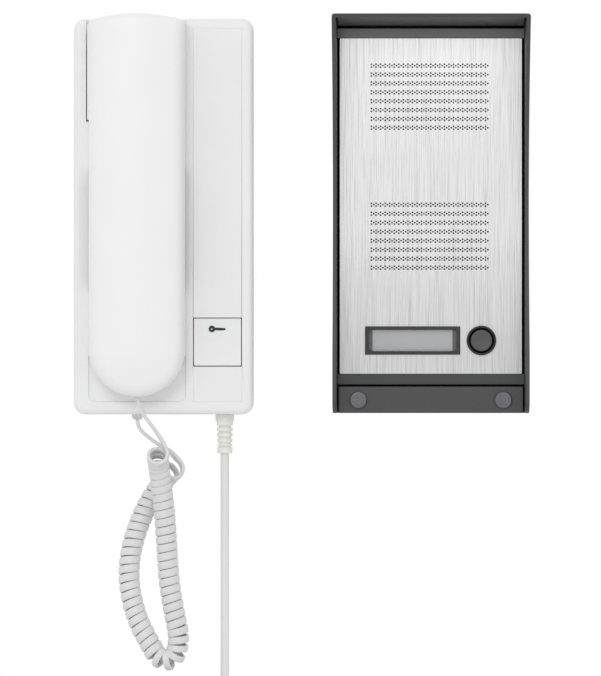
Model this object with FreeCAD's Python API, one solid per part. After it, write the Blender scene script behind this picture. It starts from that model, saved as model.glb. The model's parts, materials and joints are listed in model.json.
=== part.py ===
"""Wired door intercom: a white indoor station with a handset, and a dark outdoor panel under a rain hood.

The wall is the plane y = 0 and both units stand out from it towards -Y, so a depth d lies at y = -d.
X runs to the right and Z runs up. The origin is the centre of the indoor station's wall screws.
"""
import FreeCAD, Part
import math
import os

Vec = FreeCAD.Vector

# Clearances shared by many fits
SEAT_GAP = 0.3
SLIDE_GAP = 0.25
SCREW_GAP = 0.1
EDGE_BEVEL = 0.4

# Indoor station: widths from left to right, which add up to the base's width
RECESS_MARGIN = 6.2
HANDSET_LEFT_GAP = 1.6
HANDSET_WIDTH = 48.0
HANDSET_RIGHT_GAP = 0.3
RECESS_TO_STRIP = 3.7
STRIP_WIDTH = 24.2
STRIP_MARGIN = 6.0
BASE_WIDTH = (RECESS_MARGIN + HANDSET_LEFT_GAP + HANDSET_WIDTH + HANDSET_RIGHT_GAP + RECESS_TO_STRIP
              + STRIP_WIDTH + STRIP_MARGIN)
RECESS_LEFT = -BASE_WIDTH / 2 + RECESS_MARGIN
HANDSET_X = RECESS_LEFT + HANDSET_LEFT_GAP + HANDSET_WIDTH / 2
RECESS_RIGHT = HANDSET_X + HANDSET_WIDTH / 2 + HANDSET_RIGHT_GAP
STRIP_LEFT = RECESS_RIGHT + RECESS_TO_STRIP
STRIP_RIGHT = STRIP_LEFT + STRIP_WIDTH

# Indoor station: base and cover
BASE_HEIGHT = 198.0
BASE_TOP = BASE_HEIGHT / 2
BASE_BOTTOM = -BASE_HEIGHT / 2
BASE_DEPTH = 27.0
BASE_CORNER = 6.0
BASE_FRONT_ROUND = 3.0
COVER_WALL = 2.2
BACK_PLATE_THICKNESS = 2.5
BACK_PLATE_GAP = 0.4
WALL_SCREW_SPACING = 120.0
WALL_SCREW_HOLE = 4.5
INDOOR_CABLE_ENTRY = 12.0
INDOOR_CABLE_ENTRY_INSET = 19.0
INDOOR_CABLE_ENTRY_X = -BASE_WIDTH / 2 + INDOOR_CABLE_ENTRY_INSET
INDOOR_CABLE_ENTRY_Z = 22.0
COVER_SCREW_LEFT_INSET = 13.0
COVER_SCREW_RIGHT_INSET = 31.0
COVER_SCREW_X = (-BASE_WIDTH / 2 + COVER_SCREW_LEFT_INSET, BASE_WIDTH / 2 - COVER_SCREW_RIGHT_INSET)
COVER_SCREW_DEPTH = 8.0
COVER_SCREW_SHANK = 3.0
COVER_SCREW_HEAD = 5.2
COVER_SCREW_HEAD_HEIGHT = 1.6
COVER_SCREW_LENGTH = 11.0
LUG_WIDTH = 8.0
LUG_HEIGHT = 6.0
COVER_SCREW_SLOT = 0.8
COVER_SCREW_SLOT_DEPTH = 0.7
COVER_SCREW_SLOT_LENGTH = 4.2

# Handset
HANDSET_TOP_INSET = 1.4
HANDSET_BOTTOM_INSET = 8.9
HANDSET_TOP = BASE_TOP - HANDSET_TOP_INSET
HANDSET_TOP_RISE = 3.4
HANDSET_BOTTOM = BASE_BOTTOM + HANDSET_BOTTOM_INSET
HANDSET_PROUD = 28.0
HANDSET_FRONT = BASE_DEPTH + HANDSET_PROUD
PARTING_PROUD = 9.0
HANDSET_PARTING = BASE_DEPTH + PARTING_PROUD
HANDSET_DOME_RADIUS = 70.0
HANDSET_EDGE_RADIUS = 8.0
HANDSET_TOP_ROUND = 3.0
HANDSET_WALL = 2.2
HANDSET_SINK = 2.4
HANDSET_SEAT = BASE_DEPTH - HANDSET_SINK
GRIP_PROUD = 6.0
GRIP_REAR = BASE_DEPTH + GRIP_PROUD
GRIP_BLEND = 9.0
EAR_SINK = 17.7
EAR_REAR = BASE_DEPTH - EAR_SINK
EAR_BLOCK_HEIGHT = 46.4
EAR_BLOCK_INSET = 1.2
EAR_BLOCK_CORNER = 4.0
EAR_BLOCK_BOTTOM = HANDSET_TOP - EAR_BLOCK_INSET - EAR_BLOCK_HEIGHT
MOUTH_SINK = 11.0
MOUTH_REAR = BASE_DEPTH - MOUTH_SINK
MOUTH_INSET = 3.5
MOUTH_DIAMETER = HANDSET_WIDTH - 2 * MOUTH_INSET
MOUTH_FROM_BOTTOM = 24.9
MOUTH_Z = HANDSET_BOTTOM + MOUTH_FROM_BOTTOM
GRIP_TO_EAR = 23.0
GRIP_TO_MOUTH = 24.5
GRIP_TOP = EAR_BLOCK_BOTTOM - GRIP_TO_EAR
GRIP_BOTTOM = MOUTH_Z + GRIP_TO_MOUTH
EARPIECE_FROM_TOP = 22.6
EARPIECE_Z = HANDSET_TOP - EARPIECE_FROM_TOP
CAPSULE_RIM_SHARE = 0.4
CAPSULE_BODY_SHARE = 0.84
EARPIECE_DIAMETER = 30.0
EARPIECE_HEIGHT = 8.0
MICROPHONE_DIAMETER = 9.7
MICROPHONE_HEIGHT = 5.0
SOUND_HOLE = 1.8
HANDSET_SCREW_INSET = 13.5
HANDSET_SCREW_Z = (GRIP_TOP - HANDSET_SCREW_INSET, GRIP_BOTTOM + HANDSET_SCREW_INSET)
HANDSET_SCREW_SHANK = 2.6
HANDSET_SCREW_HEAD = 5.0
HANDSET_SCREW_HEAD_HEIGHT = 1.4
HANDSET_SCREW_LENGTH = 12.0
SCREW_BOSS_WALL = 1.7
EAR_HOLES = 8
EAR_HOLE_RING = 7.0
MOUTH_HOLES = 3
MOUTH_HOLE_RING = 2.6
GRIP_HEAD_GAP = 0.2
GROMMET_DIAMETER = 4.6
GROMMET_LENGTH = 3.0
GROMMET_PROUD = 0.6
GROMMET_OFFSET = 0.6
GROMMET_X = HANDSET_X + GROMMET_OFFSET
GROMMET_RISE = 3.2
GROMMET_DEPTH = HANDSET_PARTING + GROMMET_RISE
GROMMET_END = HANDSET_BOTTOM - GROMMET_PROUD

# Cradle recess in the cover
RECESS_BOTTOM_GAP = 2.6
RECESS_BOTTOM = HANDSET_BOTTOM - RECESS_BOTTOM_GAP
RECESS_CORNER = 3.0
GRIP_SIDE_GAP = 0.4
GRIP_SPACE_LEFT = HANDSET_X - HANDSET_WIDTH / 2 - GRIP_SIDE_GAP
EAR_POCKET_GAP = 2.5
EAR_POCKET_BOTTOM = EAR_BLOCK_BOTTOM - EAR_POCKET_GAP
MOUTH_POCKET_GAP = 0.6
MOUTH_POCKET_LIFT = 4.0

# Side strip and release button
STRIP_TOP_INSET = 4.8
STRIP_TOP = BASE_TOP - STRIP_TOP_INSET
STRIP_BOTTOM = RECESS_BOTTOM
STRIP_THICKNESS = 1.5
STRIP_FIT = 0.1
BUTTON_SIDE_GAP = 0.25
BUTTON_SIZE = STRIP_WIDTH - 2 * BUTTON_SIDE_GAP
BUTTON_FROM_BOTTOM = 29.9
BUTTON_Z = STRIP_BOTTOM + BUTTON_FROM_BOTTOM
BUTTON_CORNER = 0.5
BUTTON_GAP = 0.4
BUTTON_HEIGHT = 7.0
BUTTON_WALL = 1.6
BUTTON_TRAVEL = 1.8
BUTTON_STEM = 4.0
BUTTON_COLLAR = 12.0
BUTTON_COLLAR_THICKNESS = 1.0
BUTTON_COLLAR_DROP = 4.0
BUTTON_DISH_RADIUS = 150.0
BUTTON_DISH_SINK = 0.45

# Cradle switch
HOOK_INSET = 9.6
HOOK_X = RECESS_RIGHT - HOOK_INSET
HOOK_BELOW_POCKET = 10.5
HOOK_Z = EAR_POCKET_BOTTOM - HOOK_BELOW_POCKET
HOOK_DIAMETER = 8.0
HOOK_FLANGE = 12.4
HOOK_FLANGE_THICKNESS = 1.5
HOOK_FLANGE_INSET = 15.0
HOOK_FLANGE_DEPTH = BASE_DEPTH - HOOK_FLANGE_INSET
HOOK_ROD = 3.0
HOOK_TRAVEL = 4.0
HOOK_HEAD_GAP = 0.2
HOOK_BEVEL = 1.0

# Indoor electronics
BOARD_INSET = 4.0
BOARD_WIDTH = 28.5
BOARD_RIGHT = BASE_WIDTH / 2 - BOARD_INSET
BOARD_LEFT = BOARD_RIGHT - BOARD_WIDTH
BOARD_UPPER_INSET = 9.0
BOARD_LOWER_INSET = 19.0
BOARD_TOP = BASE_TOP - BOARD_UPPER_INSET
BOARD_BOTTOM = BASE_BOTTOM + BOARD_LOWER_INSET
BOARD_DEPTH = 4.5
BOARD_THICKNESS = 1.6
BOARD_TAB_REACH = 8.0
BOARD_TAB_LEFT = HOOK_X - BOARD_TAB_REACH
BOARD_TAB_HEIGHT = 18.0
BOARD_POST = 5.0
BOARD_POST_INSET = 4.0
SWITCH_SIZE = 6.0
SWITCH_HEIGHT = 2.9
SWITCH_KEY = 3.2
SWITCH_KEY_HEIGHT = 0.9
RINGER_FROM_TOP = 70.0
RINGER_X = BOARD_RIGHT - BOARD_WIDTH / 2
RINGER_Z = BOARD_TOP - RINGER_FROM_TOP
RINGER_DIAMETER = 22.0
RINGER_HEIGHT = 7.0
TRANSFORMER_INSET = 21.0
TRANSFORMER_X = -BASE_WIDTH / 2 + TRANSFORMER_INSET
TRANSFORMER_ABOVE_MOUTH = 52.5
TRANSFORMER_Z = MOUTH_Z + TRANSFORMER_ABOVE_MOUTH
TRANSFORMER_WIDTH = 27.0
TRANSFORMER_LENGTH = 32.0
TRANSFORMER_HEIGHT = 16.0
TRANSFORMER_PAD = 1.0
TRANSFORMER_PAD_WIDTH = 8.1
TRANSFORMER_PAD_LENGTH = 19.2
WINDING_OVERHANG = 6.0
WINDING_INSET = 5.0
WINDING_DROP = 2.0
TERMINAL_FROM_TOP = 18.0
TERMINAL_EDGE = 1.5
TERMINAL_LENGTH = 25.0
TERMINAL_X = BOARD_RIGHT - TERMINAL_EDGE - TERMINAL_LENGTH / 2
TERMINAL_Z = BOARD_TOP - TERMINAL_FROM_TOP
TERMINAL_WIDTH = 9.0
TERMINAL_HEIGHT = 10.0
TERMINAL_COUNT = 5
TERMINAL_WELL = 3.4
TERMINAL_WELL_DEPTH = 4.5
TERMINAL_WIRE_HOLE = 2.6
TERMINAL_WIRE_RISE = 1.5

# Springs
SPRING_WIRE = 0.7
BUTTON_SPRING_DIAMETER = 10.6
BUTTON_SPRING_TURNS = 3
HOOK_SPRING_DIAMETER = 10.6
HOOK_SPRING_TURNS = 3

# Handset cord
CORD_WIRE = 2.3
CORD_TAIL = 2.2
CURL_DIAMETER = 10.8
CURL_PITCH = 4.15
CURL_LEAST_GAP = 1.25
CURL_START_DEGREES = 150.0
CURL_END_FLARE = 1.5
CURL_FLARE_LENGTH = 5.0
CURL_END_TRIM_DEGREES = 305.0
CURL_SIDES = 4
TAIL_SIDES = 6
TAIL_LEAD_IN = 3.5
PLUG_OFFSET = 0.1
PLUG_X = HANDSET_X - PLUG_OFFSET
PLUG_DEPTH = 14.0
PLUG_WIDTH = 5.6
PLUG_THICKNESS = 4.4
PLUG_DROP = 2.6
PLUG_FOOT = 1.0
PLUG_INSERTION = 8.0

# Mains lead
LEAD_DIAMETER = 4.3
LEAD_INSET = 14.5
LEAD_X = BASE_WIDTH / 2 - LEAD_INSET
LEAD_DEPTH = 12.0
LEAD_SIDES = 6
RELIEF_FLANGE = 9.4
RELIEF_FLANGE_HEIGHT = 3.3
RELIEF_TOP_DIAMETER = 8.2
RELIEF_BOTTOM_DIAMETER = 7.4
RELIEF_LENGTH = 19.5
RELIEF_COLLAR = 7.6
RELIEF_COLLAR_HEIGHT = 3.0
RELIEF_SLITS = 4
RELIEF_SLIT_HEIGHT = 0.9
RELIEF_SLIT_DEPTH = 0.6
RELIEF_NECK_HEIGHT = 0.6
RELIEF_NECK_CUT = 0.7
COIL_DROP = 169.0
COIL_Z = BASE_BOTTOM - COIL_DROP
COIL_OUTER_RADIUS = 31.0
COIL_PITCH = 5.0
COIL_LAYERS = 4
COIL_TURNS_PER_LAYER = 2
LEAD_TAIL_LENGTH = 22.0
TIE_WIDTH = 6.0
TIE_THICKNESS = 1.0
TIE_SLACK = 0.5

# Flat two-pin plug on the lead
EUROPLUG_WIDTH = 26.0
EUROPLUG_THICKNESS = 13.6
EUROPLUG_FLAT_SHARE = 0.45
EUROPLUG_BODY = 34.0
EUROPLUG_STRAIGHT = 15.3
EUROPLUG_NECK_WIDTH = 15.6
EUROPLUG_NECK_THICKNESS = 10.9
EUROPLUG_NECK = 9.0
PIN_DIAMETER = 4.0
PIN_LENGTH = 19.0
PIN_SPACING = 18.6
PIN_BEVEL = 1.0
PIN_ROOT = 4.0
PIN_ROOT_DIAMETER = 3.0
PIN_SHOULDER_GAP = 0.5
NECK_TOP_RADIUS = 3.0
NECK_LOW_RADIUS = 3.6

# Outdoor panel: hood
BETWEEN_UNITS = 88.6
OUTDOOR_X = BASE_WIDTH / 2 + BETWEEN_UNITS
HOOD_TOP = 101.0
HOOD_BOTTOM = -98.3
HOOD_BACK_WIDTH = 95.2
HOOD_SPLAY = 0.041
HOOD_WALL = 2.0
HOOD_TOP_DEPTH = 52.0
HOOD_WAIST_DEPTH = 33.5
HOOD_WAIST_Z = 8.0
HOOD_FOOT_DEPTH = 41.0
HOOD_FOOT_CORNER = 7.0
HOOD_FOOT_SHARE = 0.28
HOOD_BROW_SHARE = 0.29
HOOD_BROW_LIFT = 2.0
HOOD_CHEEK_SHARE = 0.25
HOOD_EDGE_ROUND = 1.6
HOOD_SCREW_X = 30.0
HOOD_SCREW_Z = 70.0
HOOD_SCREW_HOLE = 5.0
HOOD_CABLE_ENTRY = 14.0
HOOD_CABLE_ENTRY_Z = 40.0
REAR_COVER_CABLE_HOLE = 18.0

# Outdoor panel: housing and face plate
PANEL_WIDTH = 91.0
PANEL_TOP = 94.0
PANEL_BOTTOM = -84.0
PANEL_FRONT = 30.0
PANEL_WALL = 1.8
PANEL_BACK_GAP = 0.3
PANEL_CORNER = 1.0
STRIP_STEP = 1.2
REAR_COVER_THICKNESS = 2.0
HOUSING_SCREW_SHANK = 2.8
HOUSING_SCREW_HEAD = 5.0
HOUSING_SCREW_HEAD_HEIGHT = 1.0
HOUSING_SCREW_SEAT = 1.2
HOUSING_SCREW_LENGTH = 7.8
HOUSING_SCREW_INSET = 5.2
HOUSING_POST = 7.0
HOOD_SCREW_CLEARANCE = 10.0
FACE_TOP = 89.0
FACE_BOTTOM = -78.6
FACE_THICKNESS = 1.0
FACE_PROUD = 0.4
GRILLE_OFFSET = 0.6
GRILLE_X = OUTDOOR_X - GRILLE_OFFSET
GRILLE_WIDTH = 58.7
GRILLE_ROW_HEIGHT = 2.1
GRILLE_ROWS = 8
UPPER_GRILLE_TOP = 75.4
UPPER_GRILLE_PITCH = 4.43
LOWER_GRILLE_TOP = 5.9
LOWER_GRILLE_PITCH = 4.5
GRILLE_MARGIN = 2.0
GAUZE_THICKNESS = 0.4
SPEAKER_DIAMETER = 50.0
SPEAKER_HEIGHT = 12.0
SPEAKER_Z = 59.9
OUTDOOR_MICROPHONE_Z = -9.9

# Name window
WINDOW_OFFSET = 9.1
WINDOW_X = OUTDOOR_X - WINDOW_OFFSET
WINDOW_Z = -62.0
WINDOW_WIDTH = 47.5
WINDOW_HEIGHT = 14.1
WINDOW_RIM = 1.7
CARD_END_GAP = 2.1
WINDOW_PROUD = 0.8
CARD_THICKNESS = 0.5
LENS_THICKNESS = 1.2

# Call button
CALL_OFFSET = 25.3
CALL_X = OUTDOOR_X + CALL_OFFSET
CALL_Z = -62.0
CALL_RING_DIAMETER = 14.8
CALL_RING_PROUD = 1.2
CALL_RING_SLEEVE = 12.8
CALL_BUTTON_DIAMETER = 10.7
CALL_FLANGE_DIAMETER = 12.0
CALL_TRAVEL = 1.5
CALL_FLANGE_THICKNESS = 1.5
CALL_SINK = 0.4
CALL_STEM = 3.0
CALL_RING_BEVEL = 0.6
CALL_BUTTON_BEVEL = 0.5
DOME_LOW_RADIUS = 6.6
DOME_TOP_RADIUS = 4.4
DOME_WALL = 0.8

# Outdoor electronics
OUTDOOR_BOARD_DEPTH = 10.0
OUTDOOR_BOARD_WIDTH = 76.0
OUTDOOR_BOARD_TOP = 30.0
OUTDOOR_BOARD_BOTTOM = -76.0
OUTDOOR_TERMINAL_OFFSET = 20.0
OUTDOOR_TERMINAL_X = OUTDOOR_X - OUTDOOR_TERMINAL_OFFSET
OUTDOOR_TERMINAL_Z = -30.0

# Lock bar
LOCK_GAP = 0.7
LOCK_TOP = -85.0
LOCK_BOTTOM = -98.25
LOCK_FRONT = 32.0
LOCK_WALL = 2.2
LOCK_SCREW_X = 36.25
LOCK_SCREW_Z = -91.8
LOCK_SCREW_HEAD = 8.5
LOCK_SCREW_HEAD_HEIGHT = 1.4
LOCK_SCREW_BEVEL = 0.25
LOCK_SCREW_SHANK = 3.6
LOCK_BOSS = 8.0
LOCK_BOSS_HEIGHT = 8.0
LOCK_ROUND = 0.6

# Worked out from the sizes above
RECESS_FLOOR = HANDSET_SEAT - SEAT_GAP
EAR_FLOOR = EAR_REAR - SEAT_GAP
MOUTH_FLOOR = MOUTH_REAR - SEAT_GAP
HANDSET_RADIUS = HANDSET_WIDTH / 2
HANDSET_END_Z = HANDSET_BOTTOM + HANDSET_RADIUS
BUTTON_X = (STRIP_LEFT + STRIP_RIGHT) / 2
BOARD_FRONT = BOARD_DEPTH + BOARD_THICKNESS


def at(x, z, depth):
    """A point given by x, z and its depth out from the wall."""
    return Vec(x, -depth, z)


def block(x0, x1, depth0, depth1, z0, z1):
    """A box between two depths."""
    return Part.makeBox(x1 - x0, depth1 - depth0, z1 - z0, at(x0, z0, depth1))


def pin(x, z, diameter, depth0, depth1):
    """A round pin square to the wall, between two depths in either order."""
    low, high = sorted((depth0, depth1))
    return Part.makeCylinder(diameter / 2, high - low, at(x, z, low), Vec(0, -1, 0))


def upright(x, depth, diameter, z0, z1):
    """A round pin along Z."""
    return Part.makeCylinder(diameter / 2, z1 - z0, at(x, z0, depth), Vec(0, 0, 1))


def rounded_outline(x0, x1, z0, z1, corner, depth):
    """A rectangle with round corners, in a plane parallel to the wall."""
    k = corner * (1 - math.sqrt(0.5))
    edges = []
    corners = [(x1, z1, -1, -1), (x0, z1, 1, -1), (x0, z0, 1, 1), (x1, z0, -1, 1)]
    for i, (x, z, sx, sz) in enumerate(corners):
        along_z = at(x, z + sz * corner, depth)
        along_x = at(x + sx * corner, z, depth)
        first, last = (along_z, along_x) if i % 2 == 0 else (along_x, along_z)
        edges.append(Part.Arc(first, at(x + sx * k, z + sz * k, depth), last).toShape())
    sides = []
    for i, edge in enumerate(edges):
        sides.append(edge)
        start = edge.lastVertex().Point
        end = edges[(i + 1) % 4].firstVertex().Point
        sides.append(Part.LineSegment(start, end).toShape())
    return Part.Wire(sides)


def rounded_block(x0, x1, depth0, depth1, z0, z1, corner):
    """A box whose four edges square to the wall are round."""
    face = Part.Face(rounded_outline(x0, x1, z0, z1, corner, depth0))
    return face.extrude(Vec(0, depth0 - depth1, 0))


def polygon(points):
    """A closed wire of straight edges."""
    return Part.makePolygon(points + points[:1])


def spring(x, z, diameter, turns, depth0, depth1):
    """A compression spring square to the wall, standing between two depths."""
    height = depth1 - depth0 - SPRING_WIRE
    outer, inner, half = diameter / 2, diameter / 2 - SPRING_WIRE, SPRING_WIRE / 2
    helix = Part.makeHelix(height / turns, height, outer - half)
    section = polygon([Vec(outer, 0, -half), Vec(outer, 0, half), Vec(inner, 0, half), Vec(inner, 0, -half)])
    body = Part.Wire(helix).makePipeShell([section], True, True)
    body.rotate(Vec(0, 0, 0), Vec(1, 0, 0), 90)
    body.translate(at(x, z, depth0 + half))
    return body


def seat_screw(x, z, shank, head, head_height, depth_head, depth_tip):
    """A pan head screw square to the wall, driven outwards from behind."""
    head_part = pin(x, z, head, depth_head - head_height, depth_head)
    return pin(x, z, shank, depth_head, depth_tip).fuse(head_part).removeSplitter()


def mouth_outline(diameter, lift, depth):
    """A circle around the mouthpiece, drawn out upwards by lift."""
    r = diameter / 2
    x, low, high = HANDSET_X, MOUTH_Z, MOUTH_Z + lift
    return Part.Wire([
        Part.Arc(at(x - r, low, depth), at(x, low - r, depth), at(x + r, low, depth)).toShape(),
        Part.LineSegment(at(x + r, low, depth), at(x + r, high, depth)).toShape(),
        Part.Arc(at(x + r, high, depth), at(x, high + r, depth), at(x - r, high, depth)).toShape(),
        Part.LineSegment(at(x - r, high, depth), at(x - r, low, depth)).toShape(),
    ])


def mouth_space(grow):
    """The pocket that the mouthpiece lies in, grown by a wall."""
    diameter = MOUTH_DIAMETER + 2 * MOUTH_POCKET_GAP + 2 * grow
    face = Part.Face(mouth_outline(diameter, MOUTH_POCKET_LIFT, MOUTH_FLOOR - grow))
    return face.extrude(Vec(0, MOUTH_FLOOR - grow - BASE_DEPTH - 1, 0))


def cradle_space(grow):
    """All that the handset lies in: the shallow recess, the ear pocket and the mouth pocket."""
    front = BASE_DEPTH + 1
    recess = rounded_block(GRIP_SPACE_LEFT - grow, RECESS_RIGHT + grow, RECESS_FLOOR - grow, front,
                           RECESS_BOTTOM - grow, BASE_HEIGHT, RECESS_CORNER + grow)
    ear = block(RECESS_LEFT - grow, RECESS_RIGHT + grow, EAR_FLOOR - grow, front,
                EAR_POCKET_BOTTOM - grow, BASE_HEIGHT)
    return recess.fuse([ear, mouth_space(grow)])


def cover_bosses():
    """Screw seats in the bottom wall and the guides of the hook plunger, inside the cover."""
    parts = []
    for x in COVER_SCREW_X:
        parts.append(block(x - LUG_WIDTH / 2, x + LUG_WIDTH / 2, BACK_PLATE_THICKNESS + BACK_PLATE_GAP,
                           COVER_SCREW_DEPTH + LUG_WIDTH / 2, BASE_BOTTOM + COVER_WALL / 2,
                           BASE_BOTTOM + COVER_WALL + COVER_SCREW_HEAD_HEIGHT))
    guide_start = HOOK_FLANGE_DEPTH + HOOK_FLANGE_THICKNESS + HOOK_TRAVEL + SEAT_GAP
    guide = pin(HOOK_X, HOOK_Z, HOOK_DIAMETER + 2 * SLIDE_GAP + 2 * COVER_WALL,
                guide_start, RECESS_FLOOR - COVER_WALL / 2)
    return parts + [guide]


def front_cover():
    """The moulded cover with its rounded front edge, cradle, strip rebate, windows and lead outlets."""
    half_w, half_h = BASE_WIDTH / 2, BASE_HEIGHT / 2
    outer = rounded_block(-half_w, half_w, 0, BASE_DEPTH, -half_h, half_h, BASE_CORNER)
    rim = [e for e in outer.Edges if abs(e.BoundBox.YMin + BASE_DEPTH) < 1e-6 and e.BoundBox.YLength < 1e-6]
    outer = outer.makeFillet(BASE_FRONT_ROUND, rim)
    inner = rounded_block(-half_w + COVER_WALL, half_w - COVER_WALL, -1, BASE_DEPTH - COVER_WALL,
                          -half_h + COVER_WALL, half_h - COVER_WALL, BASE_CORNER - COVER_WALL)
    skin = outer.cut(inner)
    cradle_wall = cradle_space(COVER_WALL).common(outer)
    strip_wall = block(STRIP_LEFT - COVER_WALL, STRIP_RIGHT + COVER_WALL,
                       BASE_DEPTH - COVER_WALL - STRIP_THICKNESS, BASE_DEPTH - COVER_WALL,
                       STRIP_BOTTOM - COVER_WALL, STRIP_TOP + COVER_WALL)
    body = skin.fuse([cradle_wall, strip_wall.common(outer)] + cover_bosses())
    half_window = BUTTON_SIZE / 2 + BUTTON_GAP
    cuts = [
        cradle_space(0),
        block(STRIP_LEFT - STRIP_FIT, STRIP_RIGHT + STRIP_FIT, BASE_DEPTH - STRIP_THICKNESS, BASE_DEPTH + 1,
              STRIP_BOTTOM - STRIP_FIT, STRIP_TOP + STRIP_FIT),
        block(BUTTON_X - half_window, BUTTON_X + half_window, 0, BASE_DEPTH + 1,
              BUTTON_Z - half_window, BUTTON_Z + half_window),
        pin(HOOK_X, HOOK_Z, HOOK_DIAMETER + 2 * SLIDE_GAP, 0, BASE_DEPTH),
        upright(LEAD_X, LEAD_DEPTH, RELIEF_TOP_DIAMETER + 2 * SCREW_GAP, BASE_BOTTOM - 1,
                BASE_BOTTOM + COVER_WALL + 1),
        block(PLUG_X - PLUG_WIDTH / 2 - SCREW_GAP, PLUG_X + PLUG_WIDTH / 2 + SCREW_GAP,
              PLUG_DEPTH - PLUG_THICKNESS / 2 - SCREW_GAP, PLUG_DEPTH + PLUG_THICKNESS / 2 + SCREW_GAP,
              BASE_BOTTOM - 1, BASE_BOTTOM + COVER_WALL + 1),
    ]
    for x in COVER_SCREW_X:
        cuts.append(upright(x, COVER_SCREW_DEPTH, COVER_SCREW_SHANK + 2 * SCREW_GAP, BASE_BOTTOM - 1,
                            BASE_BOTTOM + COVER_WALL + COVER_SCREW_HEAD_HEIGHT + 1))
        cuts.append(upright(x, COVER_SCREW_DEPTH, COVER_SCREW_HEAD + 4 * SCREW_GAP, BASE_BOTTOM - 1,
                            BASE_BOTTOM + COVER_SCREW_HEAD_HEIGHT + SCREW_GAP))
    return body.cut(Part.makeCompound(cuts)).removeSplitter()


def back_plate():
    """The plate that is screwed to the wall, with board posts, screw lugs and the cable entry."""
    inset = COVER_WALL + BACK_PLATE_GAP
    half_w, half_h = BASE_WIDTH / 2 - inset, BASE_HEIGHT / 2 - inset
    plate = rounded_block(-half_w, half_w, 0, BACK_PLATE_THICKNESS, -half_h, half_h, BASE_CORNER - inset)
    adds = []
    for x, z in board_post_places():
        adds.append(pin(x, z, BOARD_POST, BACK_PLATE_THICKNESS, BOARD_DEPTH))
    lug_low = BASE_BOTTOM + COVER_WALL + COVER_SCREW_HEAD_HEIGHT + SCREW_GAP
    for x in COVER_SCREW_X:
        adds.append(block(x - LUG_WIDTH / 2, x + LUG_WIDTH / 2, 0, COVER_SCREW_DEPTH + LUG_WIDTH / 2,
                          lug_low, lug_low + LUG_HEIGHT))
    half_pad, half_run = TRANSFORMER_PAD_WIDTH / 2, TRANSFORMER_PAD_LENGTH / 2
    adds.append(block(TRANSFORMER_X - half_pad, TRANSFORMER_X + half_pad,
                      BACK_PLATE_THICKNESS, BACK_PLATE_THICKNESS + TRANSFORMER_PAD,
                      TRANSFORMER_Z - half_run, TRANSFORMER_Z + half_run))
    plate = plate.fuse(adds)
    holes = [pin(0, z, WALL_SCREW_HOLE, -1, BACK_PLATE_THICKNESS + 1)
             for z in (-WALL_SCREW_SPACING / 2, WALL_SCREW_SPACING / 2)]
    holes.append(pin(INDOOR_CABLE_ENTRY_X, INDOOR_CABLE_ENTRY_Z, INDOOR_CABLE_ENTRY, -1,
                     BACK_PLATE_THICKNESS + 1))
    for x in COVER_SCREW_X:
        holes.append(upright(x, COVER_SCREW_DEPTH, COVER_SCREW_SHANK + 2 * SCREW_GAP, BASE_BOTTOM,
                             lug_low + LUG_HEIGHT + 1))
    return plate.cut(Part.makeCompound(holes)).removeSplitter()


def board_post_places():
    """Where the circuit board stands on the back plate."""
    xs = (BOARD_LEFT + BOARD_POST_INSET, BOARD_RIGHT - BOARD_POST_INSET)
    return [(x, z) for x in xs for z in (BOARD_TOP - BOARD_POST_INSET, BOARD_BOTTOM + BOARD_POST_INSET)]


def cover_screws():
    """Two screws, driven upwards through the bottom wall into the back plate's lugs."""
    screws = []
    for x in COVER_SCREW_X:
        head = upright(x, COVER_SCREW_DEPTH, COVER_SCREW_HEAD, BASE_BOTTOM,
                       BASE_BOTTOM + COVER_SCREW_HEAD_HEIGHT)
        shank = upright(x, COVER_SCREW_DEPTH, COVER_SCREW_SHANK, BASE_BOTTOM + COVER_SCREW_HEAD_HEIGHT / 2,
                        BASE_BOTTOM + COVER_SCREW_LENGTH)
        half_slot, half_reach = COVER_SCREW_SLOT / 2, COVER_SCREW_SLOT_LENGTH / 2
        slot = block(x - half_slot, x + half_slot,
                     COVER_SCREW_DEPTH - half_reach, COVER_SCREW_DEPTH + half_reach,
                     BASE_BOTTOM - 1, BASE_BOTTOM + COVER_SCREW_SLOT_DEPTH)
        screws.append(head.fuse(shank).removeSplitter().cut(slot))
    return Part.makeCompound(screws)


def side_strip(z0, z1):
    """One flush strip beside the handset, with a bevelled end next to the button."""
    body = block(STRIP_LEFT, STRIP_RIGHT, BASE_DEPTH - STRIP_THICKNESS, BASE_DEPTH, z0, z1)
    front = [e for e in body.Edges if abs(e.BoundBox.YMax + BASE_DEPTH) < 1e-6]
    return body.makeChamfer(EDGE_BEVEL, front)


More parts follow.
